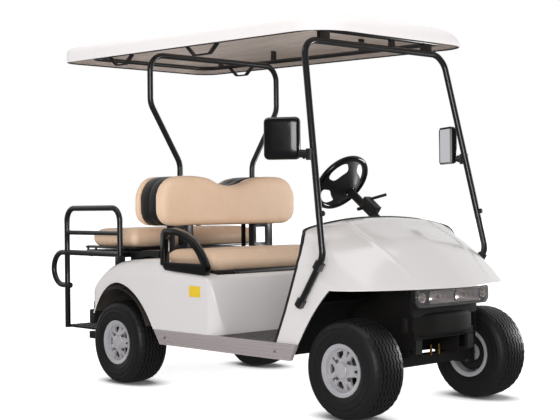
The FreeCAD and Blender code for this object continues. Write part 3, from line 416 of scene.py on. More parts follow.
def applied(mesh, kind, **settings):
    """The mesh after one modifier."""
    holder = bpy.data.objects.new("holder", mesh)
    bpy.context.scene.collection.objects.link(holder)
    modifier = holder.modifiers.new(kind.title(), kind)
    for key, value in settings.items():
        setattr(modifier, key, value)
    bpy.context.view_layer.update()
    graph = bpy.context.evaluated_depsgraph_get()
    result = bpy.data.meshes.new_from_object(holder.evaluated_get(graph))
    bpy.data.objects.remove(holder)
    return result


def thickened(mesh, thick_mm, offset=0.0):
    """A sheet given its thickness: to both sides of the mesh, or inward where the offset is -1."""
    return applied(mesh, "SOLIDIFY", thickness=thick_mm * MM, offset=offset)


CUT_HALF = 0.9            # cutters reach this far to each side, well past the cart


def cutter(outline, axis="y", low=-CUT_HALF, high=CUT_HALF):
    """A prism along y or z, as an object for cutting with; outline and span in metres."""
    rings = [[(a, depth, b) if axis == "y" else (a, b, depth) for a, b in outline] for depth in (low, high)]
    item = bpy.data.objects.new("cutter", lofted("cutter", rings))
    bpy.context.scene.collection.objects.link(item)
    return item


def side_cutter(outline):
    """A cutter across the whole cart from a side outline in millimetres."""
    return cutter([(REAR_AXLE + x * MM, z * MM) for x, z in outline])


def carved(mesh, *steps):
    """The mesh after some (INTERSECT or DIFFERENCE, cutter) steps."""
    for operation, tool in steps:
        mesh = applied(mesh, "BOOLEAN", operation=operation, object=tool, solver="EXACT")
        bpy.data.objects.remove(tool)
    return mesh


def arc(centre, radius, start, end, steps):
    """Points of an arc in a plane, angles in degrees."""
    angles = [math.radians(start + (end - start) * i / steps) for i in range(steps + 1)]
    return [(centre[0] + radius * math.cos(angle), centre[1] + radius * math.sin(angle)) for angle in angles]


def once_round(count):
    """Cosine and sine of evenly spaced angles once round."""
    return [(math.cos(2 * math.pi * k / count), math.sin(2 * math.pi * k / count)) for k in range(count)]


def curve_through(points, steps):
    """A quadratic curve from the first of three points to the last that passes through the second."""
    a, b, c = (Vector(point) for point in points)
    bend = b * 2 - (a + c) / 2
    shares = [i / steps for i in range(steps + 1)]
    return [tuple(a * (1 - t) ** 2 + bend * 2 * t * (1 - t) + c * t ** 2) for t in shares]


def cord_mesh(name, points, radius, sides=10, closed=False):
    """A round bar along points in metres, its ends capped."""
    points = [Vector(point) for point in points]
    count = len(points)
    rows = []
    normal = None
    for i, point in enumerate(points):
        before = points[i - 1] if i or closed else point
        after = points[(i + 1) % count] if i + 1 < count or closed else point
        along = (after - before).normalized()
        if normal is None:
            normal = along.orthogonal().normalized()
        normal = (normal - along * normal.dot(along)).normalized()
        across = along.cross(normal)
        rows.append([point + (normal * c + across * s) * radius for c, s in once_round(sides)])
    if closed:
        return outward(name, *lattice(rows, wrap_rows=True, wrap_columns=True))
    return lofted(name, rows)


def turned(name, profile, centre, axis, steps=48):
    """A solid of revolution: profile pairs of distance along the axis and radius, in metres."""
    spin = Vector(axis).normalized().to_track_quat("Z", "Y").to_matrix()
    rows = [[Vector(centre) + spin @ Vector((radius * c, radius * s, along)) for c, s in once_round(steps)]
            for along, radius in profile]
    work = bmesh.new()
    work.from_mesh(mesh_of(name, *lattice(rows, wrap_columns=True)))
    bmesh.ops.remove_doubles(work, verts=work.verts, dist=1e-6)
    bmesh.ops.holes_fill(work, edges=[edge for edge in work.edges if edge.is_boundary])
    return from_bmesh(name, work)


def joined(name, meshes):
    """Several meshes as one."""
    work = bmesh.new()
    for mesh in meshes:
        work.from_mesh(mesh)
    result = bpy.data.meshes.new(name)
    work.to_mesh(result)
    work.free()
    return result


def softened(node, width_mm, finish_name, name=None):
    """A CAD node's shape with its hard edges rounded, in place of the node."""
    source = frame["nodes"][node]
    work = bmesh.new()
    work.from_mesh(source.data)
    bmesh.ops.remove_doubles(work, verts=work.verts, dist=1e-5)
    bmesh.ops.dissolve_limit(work, angle_limit=math.radians(1.2), verts=work.verts, edges=work.edges)
    mesh = applied(from_bmesh(node, work), "BEVEL", width=width_mm * MM, segments=2, limit_method="ANGLE",
                   angle_limit=math.radians(28), use_clamp_overlap=True)
    return piece(name or node + "_soft", mesh, finish_name, source["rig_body"], 40, (node,))


def hex_bolt(centre, axis, across_mm):
    """A bolt head on its washer, standing on a surface."""
    axis = Vector(axis).normalized()
    centre = Vector(centre)
    across = across_mm * MM
    head = [(0, 0.0), (0, across * 0.5), (across * 0.3, across * 0.5), (across * 0.38, across * 0.42),
            (across * 0.4, 0.0)]
    washer = [(0, 0.0), (0, across * 0.72), (across * 0.1, across * 0.72), (across * 0.14, across * 0.66),
              (across * 0.14, 0.0)]
    return [turned("head", head, centre + axis * across * 0.12, axis, 6),
            turned("washer", washer, centre, axis, 20)]


def smoothstep(low, high, value):
    """Rises softly from 0 to 1 while the value goes from low to high."""
    share = min(max((value - low) / (high - low), 0.0), 1.0)
    return share * share * (3 - 2 * share)


def along_line(line, x):
    """Height of a line given as x and z pairs."""
    if x <= line[0][0]:
        return line[0][1]
    for (xa, za), (xb, zb) in zip(line, line[1:]):
        if x <= xb:
            return za + (zb - za) * (x - xa) / (xb - xa)
    return line[-1][1]


def eased(line, x, reach):
    """Height of a line whose corners are rounded by averaging over a reach."""
    return sum(along_line(line, x + reach * (k / 4 - 1)) for k in range(9)) / 9


# ---------------------------------------------------------------- front cowl

COWL_HALF = 575
COWL_TOP = 907
COWL_FOOT = 327.3         # where the legs of the cowl stand on the sills
NOSE = WHEELBASE + 285
NOSE_FALL = 295           # how far the hood's edge draws back from the nose to the flanks
DOME_FALL = 318           # how far the hood falls from its top to the nose
HOOD_BACK = 1250          # where the hood's own grid starts, behind the dash edge
DOME_REACH = 700          # how far in from its edge the dome still rises
DASH_END = 1436           # where the square shoulders of the dash begin to turn into the dome
CREASE = 300              # the two creases' distance from the middle, before they draw in to the nose
RIDGE_TALL = 6
RIDGE_WIDE = 9
SKIN = 4                  # thickness of the body's plastic


def hood_edge(y):
    """The hood's outline seen from above: how far forward it reaches at a distance from the middle."""
    return NOSE - NOSE_FALL + NOSE_FALL * (1 - min(abs(y) / COWL_HALF, 1) ** 1.55) ** 0.59


def dome(x, y):
    """Height of the hood's dome, which falls to the nose and over rounded flanks."""
    inward = max(hood_edge(y) - x, 0)
    rise = 1 - (1 - min(inward / DOME_REACH, 1)) ** 2.6
    side = COWL_HALF - abs(y)
    shoulder = 1.03 - 0.43 * math.exp(-side / 38) - 0.125 * math.exp(-side / 400)
    return COWL_TOP - DOME_FALL + DOME_FALL * rise * shoulder


def hood_height(x, y):
    """Height of the hood: square-shouldered at the dash, a dome ahead, and two raised creases."""
    out = abs(y)
    rolled_edge = 140 * math.exp(-(COWL_HALF - out) / 13)
    square = COWL_TOP - 67 * (out / COWL_HALF) ** 2.2 - rolled_edge
    domed = smoothstep(DASH_END, 1600 - 70 * smoothstep(380, 500, out), x)
    crease = CREASE - 35 * smoothstep(1700, 1930, x)
    raised = smoothstep(DASH_END + 6, 1500, x) * (1 - smoothstep(1870, 1965, x))
    ridge = math.exp(-((out - crease) / RIDGE_WIDE) ** 2)
    return square + (dome(x, y) - square) * domed + RIDGE_TALL * raised * ridge


# The dash edge and the rear edge of each leg, from above the hood down to the floor.
DASH_EDGE = [(NOSE + 40, 960), (WHEELBASE - 262, 960), (WHEELBASE - 262, 862), (WHEELBASE - 254, 850),
             (WHEELBASE - 242, 835), (WHEELBASE - 232, 800), (WHEELBASE - 230, 744), (WHEELBASE - 245, 690),
             (WHEELBASE - 288, 580), (WHEELBASE - 330, 475), (WHEELBASE - 397, COWL_FOOT)]

FRONT_ARCH = curve_through(((WHEELBASE - 231, 351), (WHEELBASE - 140, 482), (WHEELBASE - 40, 587)), 10)


def reach_inside(angle):
    """How far the hood reaches from the middle of its back, in a direction seen from above."""
    low, high = 0.0, 1200.0
    for _ in range(40):
        reach = (low + high) / 2
        y = reach * math.sin(angle)
        if abs(y) < COWL_HALF and HOOD_BACK + reach * math.cos(angle) < hood_edge(y):
            low = reach
        else:
            high = reach
    return low


def front_cowl():
    """The hood and its two legs: spokes over the dome, bent down at the edge, trimmed to the side outline."""
    columns = []
    spokes = 200
    for i in range(spokes + 1):
        angle = math.radians(-90 + 180 * i / spokes)
        reach = reach_inside(angle)
        columns.append((reach * math.cos(angle), reach * math.sin(angle)))
    rows = []
    rings = 70
    for i in range(1, rings + 1):
        share = 1 - (1 - i / rings) ** 1.6
        rows.append([spot(HOOD_BACK + a * share, b * share, hood_height(HOOD_BACK + a * share, b * share))
                     for a, b in columns])
    for share in [step / 9 for step in range(1, 10)]:
        rows.append([spot(HOOD_BACK + a, b, hood_height(HOOD_BACK + a, b) * (1 - share) + 300 * share)
                     for a, b in columns])
    skin = thickened(mesh_of("cowl", *lattice(rows)), SKIN, -1.0)
    keep = [DASH_EDGE[-1], (WHEELBASE - 247, COWL_FOOT)] + FRONT_ARCH + [(NOSE + 40, 588)] + DASH_EDGE
    piece("front_cowl_skin", carved(skin, ("INTERSECT", side_cutter(keep))), "gloss_white_abs", smooth=50,
          replaces=("front_cowl",))


def along_outline(outline, z):
    """Where a falling or rising outline, given as x and z pairs, passes a height."""
    for (xa, za), (xb, zb) in zip(outline, outline[1:]):
        if min(za, zb) <= z <= max(za, zb) and za != zb:
            return xa + (xb - xa) * (z - za) / (zb - za)
    return outline[-1][0]


def ribbon(name, line, wide, thick):
    """A strip with rounded edges along a line of (point, thickness direction), its width along x."""
    u = Vector((wide / 2, 0, 0))
    rows = []
    for point, away in line:
        v = away.normalized() * thick / 2
        rows.append([point - u - v * 0.4, point - u * 0.7 + v, point + u * 0.7 + v, point + u - v * 0.4,
                     point + u * 0.7 - v, point - u * 0.7 - v])
    return lofted(name, rows)


def dash_trim():
    """The black rubber edge that follows the hood's rear arch and runs down both legs."""
    back = DASH_EDGE[1:]
    top = []
    top_turn = 88.5
    for i in range(81):
        y = COWL_HALF * math.sin(math.radians(-top_turn + 2 * top_turn * i / 80))
        z = 860.0
        for _ in range(40):
            z = 0.6 * z + 0.4 * hood_height(along_outline(back, z), y)
        top.append(spot(along_outline(back, z) - 2, y, z + 5))
    right = []
    start = top[0].z / MM
    for i in range(1, 21):
        z = start + (329 - start) * i / 20
        right.append(spot(along_outline(back[1:], z) - 2, -COWL_HALF - 1.5, z))
    left = [Vector((p.x, -p.y, p.z)) for p in right]
    line = right[::-1] + top + left
    strip = []
    for i, point in enumerate(line):
        run = line[min(i + 1, len(line) - 1)] - line[max(i - 1, 0)]
        away = Vector((0, -run.z, run.y))
        if away.dot(Vector((0, point.y, point.z - 0.5))) < 0:
            away = -away
        strip.append((point, away))
    piece("dash_edge_trim", ribbon("trim", strip, 20 * MM, 9 * MM), "moulded_black_plastic", smooth=60)


def lamp_cover():
    """The clear cover over the lamps: small corners above, large ones below, its face rounded at the rim."""
    low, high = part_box("light_bar_lens")
    half = (high.y - low.y) / 2
    base_corner, top_corner = 0.028, 0.008
    rows = []
    for depth, inset in ((0, 0.0), (0.72, 0.0), (0.9, 0.1), (0.98, 0.24), (1.0, 0.42)):
        shrink = inset * 0.03
        right, top, base = half - shrink, high.z - shrink, low.z + shrink
        ring = []
        for y, z, radius, start in ((right - base_corner, base + base_corner, base_corner, -90),
                                    (right - top_corner, top - top_corner, top_corner, 0),
                                    (top_corner - right, top - top_corner, top_corner, 90),
                                    (base_corner - right, base + base_corner, base_corner, 180)):
            ring += [Vector((low.x + (high.x - low.x) * depth, a, b)) for a, b in
                     arc((y, z), radius, start, start + 90, 8)]
        rows.append(ring)
    shell = thickened(lofted("lens", rows, start_closed=False), 2, -1.0)
    piece("light_bar_cover", shell, "clear_lens", smooth=50, replaces=("light_bar_lens",))


def light_bar():
    """Two round lamps and two long reflectors, with their bulbs, on the housing behind the cover."""
    lamp_cover()
    low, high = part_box("light_bar_lens")
    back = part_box("light_bar_housing")[1].x
    z = (low.z + high.z) / 2 + 0.002
    ahead = (1, 0, 0)
    dish = ((0.001, 0.0), (0.001, 0.009), (0.004, 0.019), (0.011, 0.023), (0.011, 0.0235), (0.0, 0.0235),
            (0.0, 0.0))
    bulb = ((0.0, 0.0), (0.0, 0.006), (0.004, 0.0095), (0.009, 0.0095), (0.013, 0.006), (0.0145, 0.0))
    lamp_bulb = ((0.0, 0.0), (0.0, 0.008), (0.005, 0.011), (0.009, 0.009), (0.0115, 0.0))
    bowl_y, bowl_wide, bowl_tall = 0.094, 0.176, 0.06
    for label, side in SIDES:
        y = side * ((high.y - low.y) / 2 - 0.034)
        reflector = turned("dish", dish, (back, y, z), ahead)
        glass = turned("bulb", bulb, (back + 0.002, y, z), ahead, 24)
        piece("small_reflector_" + label, reflector, "polished_reflector")
        piece("small_bulb_" + label, glass, "frosted_lamp_glass")
        y = side * bowl_y
        rows = []
        for i in range(13):
            across = i / 12 - 0.5
            bowl_x = back + 0.0015 + 0.012 * (abs(across) * 2) ** 2.2
            rows.append([Vector((bowl_x + 0.013 * (abs(j / 8 - 0.5) * 2) ** 2, y + across * bowl_wide,
                                 z + (j / 8 - 0.5) * bowl_tall)) for j in range(9)])
        reflector = thickened(mesh_of("bowl", *lattice(rows)), 1)
        glass = turned("lamp", lamp_bulb, (back + 0.003, y, z), ahead, 24)
        piece("headlamp_reflector_" + label, reflector, "polished_reflector")
        piece("headlamp_bulb_" + label, glass, "frosted_lamp_glass")


# ---------------------------------------------------------------- rear body

BODY_HALF = 590
TAIL = -226
KICK = 890                # the face below the front seat
BODY_TOP = ((TAIL, 455), (-205, 515), (-170, 572), (-130, 612), (-85, 645), (0, 672), (100, 686), (208, 693),
            (300, 697), (395, 700), (442, 652), (520, 643), (640, 637), (760, 630), (805, 622), (845, 594),
            (868, 470), (KICK, 327))


def round_plan(back, fore, half, back_radius, fore_radius, step):
    """A rounded rectangle from above as evenly spaced points, the same on both sides of the middle."""
    right = [(back, 0.0), (back, -(half - back_radius))]
    right += arc((back + back_radius, -(half - back_radius)), back_radius, 180, 270, 16)
    right += arc((fore - fore_radius, -(half - fore_radius)), fore_radius, 270, 360, 20)
    right += [(fore, 0.0)]
    spaced = []
    for (xa, ya), (xb, yb) in zip(right, right[1:]):
        count = max(round(math.hypot(xb - xa, yb - ya) / step), 1)
        spaced += [(xa + (xb - xa) * k / count, ya + (yb - ya) * k / count) for k in range(count)]
    spaced.append(right[-1])
    kept = [spaced[0]]
    for point in spaced[1:]:
        if math.dist(point, kept[-1]) > 0.5:
            kept.append(point)
    return kept + [(x, -y) for x, y in reversed(kept[1:-1])]


def shell_over(plan, offsets, surface, base, walls, inset=0.0):
    """A shell from its lower edge up the walls and inward over the top, closed along its middle line."""
    back = min(x for x, y in plan)
    fore = max(x for x, y in plan)
    half = max(y for x, y in plan)
    reach = min(half, (fore - back) / 2)

    def inward(x, y, offset):
        share = offset / half
        return x + (min(max(x, back + reach), fore - reach) - x) * share, y * (1 - share)

    rows = []
    for depth in range(walls, 0, -1):
        share = depth / walls
        rows.append([spot(*inward(x, y, inset), (surface(x, y, 0) - inset) * (1 - share) + base(x) * share)
                     for x, y in plan])
    for offset in offsets + [half]:
        rows.append([spot(*inward(x, y, max(offset, inset)), surface(*inward(x, y, offset), offset) - inset)
                     for x, y in plan])
    work = bmesh.new()
    work.from_mesh(mesh_of("shell", *lattice(rows, wrap_columns=True)))
    bmesh.ops.remove_doubles(work, verts=work.verts, dist=1e-5)
    bmesh.ops.dissolve_degenerate(work, edges=work.edges, dist=1e-6)
    return from_bmesh("shell", work)


def rounded_off(offset, wide, tall, power=2.0):
    """How far a rounded shoulder lies below the surface it leads to, at an offset in from the outline."""
    left = 1 - min(offset / wide, 1)
    return tall * (1 - math.sqrt(1 - left ** power))


def body_surface(x, y, offset):
    """The body's top with its rounded shoulder; offset is how far in from the outline a point lies."""
    tall = 20 + 70 * smoothstep(TAIL, -40, x) - 62 * smoothstep(400, 460, x)
    return eased(BODY_TOP, x, 18) - rounded_off(offset, 78, tall, 2.2)


# The rear wheel arch from its rear foot over the top to its front foot.
REAR_ARCH = (curve_through(((-200, 380), (-90, 522), (50, 563)), 12)
             + curve_through(((50, 563), (215, 492), (352, 337)), 14)[1:])


def rear_body():
    """The white tub round the seats, open under the front seat and cut out over both wheels."""
    plan = round_plan(TAIL, KICK, BODY_HALF, 52, 88, 12)
    offsets = [0, 1.5, 4, 7.5, 12, 17, 23, 30, 38, 47, 57, 68, 82, 100, 125, 160, 205, 260, 320, 385, 450,
               510]
    skin = thickened(shell_over(plan, offsets, body_surface, lambda x: 240, 10), SKIN, -1.0)
    keep = side_cutter([(-300, 395), (-150, 395), (-150, 327), (1000, 327), (1000, 900), (-300, 900)])
    arch = side_cutter([(-200, 150)] + REAR_ARCH + [(352, 150)])
    well = [(219.7, -505), (790, -505), (790, 505), (219.7, 505)]
    well = cutter([(REAR_AXLE + x * MM, y * MM) for x, y in well], "z", 0.6, 0.9)
    mesh = carved(skin, ("INTERSECT", keep), ("DIFFERENCE", arch), ("DIFFERENCE", well))
    piece("rear_body_skin", mesh, "gloss_white_abs", smooth=50, replaces=("rear_body",))


# ---------------------------------------------------------------- roof

ROOF_HALF = 560
ROOF_TOP = 1926
ROOF_TAIL = -580
ROOF_TIP = WHEELBASE - 90
ROOF_LINE = ((ROOF_TAIL, 1892), (-520, 1908), (200, 1921), (1010, 1925), (1300, 1919), (1400, 1903),
             (1450, 1891), (1500, 1879), (1610, 1864))
ROOF_BAND = 88            # height of the band round the roof, from its lip to where the top begins


def roof_lip(x):
    """Height of the roof's lower edge, which falls towards the front."""
    return ROOF_TOP - 99 - 49 * (x + 700) / 2400


def roof_surface(x, y, offset):
    """The roof's top: a band of even height round it, a crown between, and a long rounded brow in front."""
    brow = smoothstep(ROOF_TIP - 200, ROOF_TIP - 50, x + offset)
    flank = smoothstep(ROOF_TAIL + 60, ROOF_TAIL + 160, x)
    edge = roof_lip(x) + ROOF_BAND
    plateau = eased(ROOF_LINE, x, 40)
    across = min(abs(y) / (ROOF_HALF - 40), 1) ** 3.8
    shoulder = rounded_off(offset, 36 + 14 * flank + 60 * brow, 30 + 14 * flank + 32 * brow)
    return plateau + min(edge - plateau, 0) * across - shoulder


def lining_surface(x, y, offset):
    """The underside of the roof, with soft ridges along it."""
    ripple = 1.6 * math.sin(2 * math.pi * y / 46) * smoothstep(60, 160, offset)
    return roof_surface(x, y, offset) + ripple - 4


def roof_shell():
    """The roof's white skin, its grey lining and the seal along its lower edge."""
    plan = round_plan(ROOF_TAIL, ROOF_TIP, ROOF_HALF, 120, 190, 16)
    offsets = [0, 1, 2.5, 5, 8.5, 13, 19, 26, 35, 46, 60, 80, 110, 150, 200, 260, 330, 400, 470, 530]
    shell = thickened(shell_over(plan, offsets, roof_surface, roof_lip, 6), 3.5, -1.0)
    piece("roof_skin", shell, "satin_white_abs", smooth=50, replaces=("roof_shell",))
    ridged = offsets[:12] + list(range(72, 555, 9))
    lining = shell_over(plan, ridged, lining_surface, lambda x: roof_lip(x) + 9, 4, 4.5)
    piece("roof_inner_lining", thickened(lining, 1, -1.0), "roof_lining", smooth=60)
    inner = round_plan(ROOF_TAIL + 8, ROOF_TIP - 8, ROOF_HALF - 8, 112, 182, 16)
    line = [spot(x, y, roof_lip(x) + 3) for x, y in inner]
    piece("roof_lip_seal", cord_mesh("seal", line, 3.5 * MM, 8, True), "moulded_black_plastic")


# ---------------------------------------------------------------- wheels

ZIGZAGS = 38
SEGMENTS = 4 * ZIGZAGS    # four steps to each zig-zag of the tread
GROOVES = 6
TREAD_HALF = 74


# The outside of the sidewall from the bead up: radius, and how far it lies in from the tyre's side.
SIDEWALL = ((104.3, 20.3), (107, 18.8), (121, 12.3), (124, 7.5), (127, 5.5), (131, 4.4), (134, 3), (136, 3.6),
            (143, 1.6), (146, 0.6), (148, 1.4), (158, 0.3), (168, 0), (171, -1), (174, 0), (184, 0.2),
            (190, 0.8), (193, -0.2), (196, 1.3), (204, 3.6), (211, 7.5), (213, 9), (214.5, 11.5))


def tyre_profile(outer, half):
    """The tyre's section from bead to bead and back inside: radius, offset, share of the zig-zag."""
    side = [(radius, half - inset, 0) for radius, inset in SIDEWALL]
    side += [(218, half - 15.5, 0.3), (221.5, half - 21, 0.6)]
    crown = []
    pitch = 2 * TREAD_HALF / (GROOVES + 0.6)
    for k in range(GROOVES):
        y = (GROOVES / 2 - 0.5 - k) * pitch
        drop = 4.5 * (y / TREAD_HALF) ** 2
        for edge, depth in ((3.9, 0.0), (3.0, 8.0), (-3.0, 8.0), (-3.9, 0.0)):
            crown.append((outer - drop - depth, y + edge, 1.0))
        if k < GROOVES - 1:
            y -= pitch / 2
            crown.append((outer - 4.5 * (y / TREAD_HALF) ** 2 + 0.3, y, 1.0))
    inner = [(120, 40 - half, 0), (160, 20 - half, 0), (200, 34 - half, 0), (212, 60 - half, 0)]
    return (side + crown + [(r, -y, share) for r, y, share in reversed(side)]
            + inner + [(r, -y, share) for r, y, share in reversed(inner)])


def tyre_mesh(node):
    """A tyre with ringed sidewalls and zig-zag grooves, open at the bead."""
    low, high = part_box(node)
    centre = middle(node)
    rows = []
    for radius, y, share in tyre_profile((high.z - low.z) / 2 / MM, (high.y - low.y) / 2 / MM):
        row = []
        for k, (c, s) in enumerate(once_round(SEGMENTS)):
            wave = (0, 1, 0, -1)[k % 4] * 4.2 * share
            row.append(centre + Vector((radius * c, y + wave, radius * s)) * MM)
        rows.append(row)
    return outward("tyre", *lattice(rows, wrap_rows=True, wrap_columns=True))


def wheel_details(place, side, body):
    """A domed cap, four wheel nuts, a brake drum and a tyre valve on one rim."""
    low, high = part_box("rim_" + place)
    centre = middle("rim_" + place)
    face = high.y if side > 0 else low.y
    out = Vector((0, side, 0))
    hub = Vector((centre.x, face - side * 0.001, centre.z))
    cap = ((-0.004, 0.036), (0.001, 0.0355), (0.0035, 0.033), (0.005, 0.027), (0.0062, 0.018),
           (0.0068, 0.008), (0.007, 0.0))
    piece("wheel_cap_" + place, turned("cap", cap, hub, out), "silver_wheel_paint", body)
    nuts = []
    for k in range(4):
        angle = math.radians(45 + 90 * k)
        nuts += hex_bolt(hub + Vector((math.cos(angle), 0, math.sin(angle))) * 0.052 - out * 0.0165, out, 15)
    piece("wheel_nuts_" + place, joined("nuts", nuts), "plated_bolt_steel", body)
    drum = ((-0.06, 0.05), (-0.06, 0.088), (0.02, 0.088), (0.026, 0.082), (0.026, 0.05))
    rows = [[centre + out * along + Vector((c, 0, s)) * radius for c, s in once_round(48)]
            for along, radius in drum]
    mesh = outward("drum", *lattice(rows, wrap_rows=True, wrap_columns=True))
    piece("brake_drum_" + place, mesh, "chassis_paint", body)
    stem = ((0, 0.004), (0.012, 0.004), (0.013, 0.0028), (0.022, 0.0028), (0.0225, 0.0))
    valve = hub + Vector((0.089, 0, 0)) - out * 0.022
    piece("tyre_valve_" + place, turned("valve", stem, valve, out, 12), "moulded_black_plastic", body)


def wheels():
    """Four tyres with their tread, four cast wheels and what is fixed to them."""
    for end in ("front_", "rear_"):
        for label, side in SIDES:
            place = end + label
            body = "wheel_" + place
            piece("tread_" + place, tyre_mesh("tyre_" + place), "tyre_rubber", body, 26, ("tyre_" + place,))
            softened("rim_" + place, 3.4, "silver_wheel_paint", "cast_wheel_" + place)
            wheel_details(place, side, body)


# ---------------------------------------------------------------- upholstery

def block_mesh(low, high, step, radius):
    """A box of even quads with rounded edges, corners given in metres."""
    low, high = Vector(low), Vector(high)
    size = high - low
    counts = [max(round(length / step), 2) for length in size]
    work = bmesh.new()
    seen = {}

    def vertex(key):
        if key not in seen:
            share = Vector([key[n] / counts[n] for n in range(3)])
            point = Vector([low[n] + size[n] * share[n] for n in range(3)])
            core = Vector([min(max(point[n], low[n] + radius), high[n] - radius) for n in range(3)])
            away = point - core
            if away.length > 1e-9:
                point = core + away.normalized() * radius
            seen[key] = work.verts.new(point)
        return seen[key]

    for axis in range(3):
        u, v = [n for n in range(3) if n != axis]
        for level in (0, counts[axis]):
            for a in range(counts[u]):
                for b in range(counts[v]):
                    corners = []
                    for da, db in ((0, 0), (1, 0), (1, 1), (0, 1)):
                        index = [level] * 3
                        index[u], index[v] = a + da, b + db
                        corners.append(vertex(tuple(index)))
                    work.faces.new(corners)
    return from_bmesh("block", work)


CLOTH_STEPS = 20
CLOTH_CELL = 0.0085       # how far apart the points of a pad are before it swells, in metres


def swollen(mesh, cap_mm, pressure):
    """The mesh after a short pressure simulation, each point held within a cap of where it began."""
    holder = bpy.data.objects.new("pad", mesh)
    bpy.context.scene.collection.objects.link(holder)
    cloth = holder.modifiers.new("Cloth", "CLOTH")
    for name, value in (("use_pressure", True), ("uniform_pressure_force", pressure), ("quality", 4),
                        ("tension_stiffness", 25), ("compression_stiffness", 25), ("shear_stiffness", 12),
                        ("bending_stiffness", 1.5)):
        setattr(cloth.settings, name, value)
    cloth.settings.effector_weights.gravity = 0
    cloth.collision_settings.use_collision = False
    cloth.point_cache.frame_start = 1
    cloth.point_cache.frame_end = CLOTH_STEPS
    for number in range(1, CLOTH_STEPS + 1):
        bpy.context.scene.frame_set(number)
    graph = bpy.context.evaluated_depsgraph_get()
    result = bpy.data.meshes.new_from_object(holder.evaluated_get(graph))
    for start, vertex in zip(mesh.vertices, result.vertices):
        move = vertex.co - start.co
        if move.length > cap_mm * MM:
            vertex.co = start.co + move.normalized() * cap_mm * MM
    bpy.context.scene.frame_set(1)
    bpy.data.objects.remove(holder)
    return result


def inflated(mesh, cap_mm, pressure, floor=None):
    """A pad after swelling, pressed flat where it rests on a floor, and subdivided once."""
    result = swollen(mesh, cap_mm, pressure)
    if floor is not None:
        for vertex in result.vertices:
            vertex.co.z = max(vertex.co.z, floor)
    return applied(result, "SUBSURF", levels=1, render_levels=1)


def crowned_cushion(node, drop, sag):
    """A seat cushion: its sides pull in between its corners, and its crowned top gives where people sit."""
    low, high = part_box(node)
    shrink = Vector((0.006, 0.008, 0.0))
    top = Vector((high.x, high.y, high.z - drop)) - shrink
    mesh = block_mesh(low + shrink, top, CLOTH_CELL, 0.038)
    centre = (low + high) / 2
    for vertex in mesh.vertices:
        u = (vertex.co.x - centre.x) / (high.x - low.x) * 2
        v = (vertex.co.y - centre.y) / (high.y - low.y) * 2
        w = (vertex.co.z - low.z) / (high.z - low.z)
        crown = (1 - u * u) * (1 - v ** 6)
        vertex.co.z += 0.008 * crown * w
        dent = math.exp(-((abs(v) - 0.52) / 0.25) ** 2) * math.exp(-(u / 0.6) ** 2)
        vertex.co.z -= sag * MM * dent * w
        pull = 0.006 * math.cos(math.pi * min(max(w, 0), 1) - math.pi / 2) ** 2
        vertex.co.x += pull * math.copysign(min(abs(u), 1) ** 8, u)
        vertex.co.y += pull * math.copysign(min(abs(v), 1) ** 8, v)
        wrinkle = math.sin(vertex.co.y * 61 + 3 * math.sin(vertex.co.x * 17))
        wrinkle *= math.exp(-((abs(u) - 0.85) / 0.2) ** 2)
        vertex.co.z += 0.0012 * wrinkle * w
    mesh.update()
    return inflated(mesh, 16, 4.0, low.z)


BACK_HALF = 497
BACK_LOW = 860            # lower and upper edge of the backrests
BACK_HIGH = 1153


def back_outline(inset):
    """The backrest's outline from the front: two humps with a dip between, counter-clockwise; millimetres."""
    wide, low, top = BACK_HALF, BACK_LOW, BACK_HIGH
    left = [((wide - 95, low), (wide - 28, low + 28), (wide, low + 95)),
            ((wide, top - 130), (wide - 48, top - 38), (wide - 150, top - 4)),
            ((wide - 150, top - 4), (200, top - 6), (110, top - 34))]
    dip = [((110, top - 34), (0, top - 52), (-110, top - 34))]
    right = [tuple((-y, z) for y, z in reversed(bend)) for bend in reversed(left)]
    line = []
    for bend in left + dip + right:
        for point in curve_through(bend, 12):
            if not line or math.dist(point, line[-1]) > 1:
                line.append(point)
    shifted = []
    for i, (y, z) in enumerate(line):
        (ya, za), (yb, zb) = line[i - 1], line[(i + 1) % len(line)]
        length = math.hypot(yb - ya, zb - za)
        shifted.append((y - inset * (zb - za) / length, z + inset * (yb - ya) / length))
    return shifted


def back_cushion(face, side, thick):
    """A padded backrest whose flat rear stands at face and which swells towards side (+1 forward)."""
    steps = ((6, 0.0), (2, 0.03), (0, 0.1), (0, 0.3), (0, 0.5), (0.5, 0.68), (3, 0.82), (8, 0.92), (16, 0.98),
             (30, 1.0))
    rows = [[Vector((face + side * share * thick, y * MM, z * MM)) for y, z in back_outline(inset + 5)]
            for inset, share in steps]
    mesh = applied(lofted("back", rows), "REMESH", mode="VOXEL", voxel_size=CLOTH_CELL)
    for vertex in mesh.vertices:
        depth = max(abs(vertex.co.x - face) / thick - 0.4, 0)
        u = vertex.co.y / (BACK_HALF * MM)
        wrinkle = math.sin(u * 9) * math.sin(vertex.co.z * 23 + u * 3)
        vertex.co.x += side * (0.0012 * wrinkle - 0.003 * math.exp(-(u / 0.12) ** 2)) * depth
    mesh = inflated(mesh, 6, 3.0)
    for vertex in mesh.vertices:
        if (vertex.co.x - face) * side < 0:
            vertex.co.x = face
    return mesh


def back_shells(back, front):
    """The two moulded shells between the backrests, each set in a little from its pad."""
    seam = (back + front) / 2
    for label, start, replaces in (("rear", back, ("backrest_shells",)), ("front", front, ())):
        rows = []
        for share, inset in ((0.0, 10), (0.04, 8.5), (0.5, 8), (0.8, 9), (0.95, 10.5), (1.0, 13)):
            narrow = (BACK_HALF - 15 - inset) / (BACK_HALF - inset)
            x = start + (seam - start) * share
            rows.append([Vector((x, y * narrow * MM, z * MM)) for y, z in back_outline(inset)])
        piece("backrest_shell_" + label, lofted("shell", rows), "moulded_black_plastic", smooth=40,
              replaces=replaces)


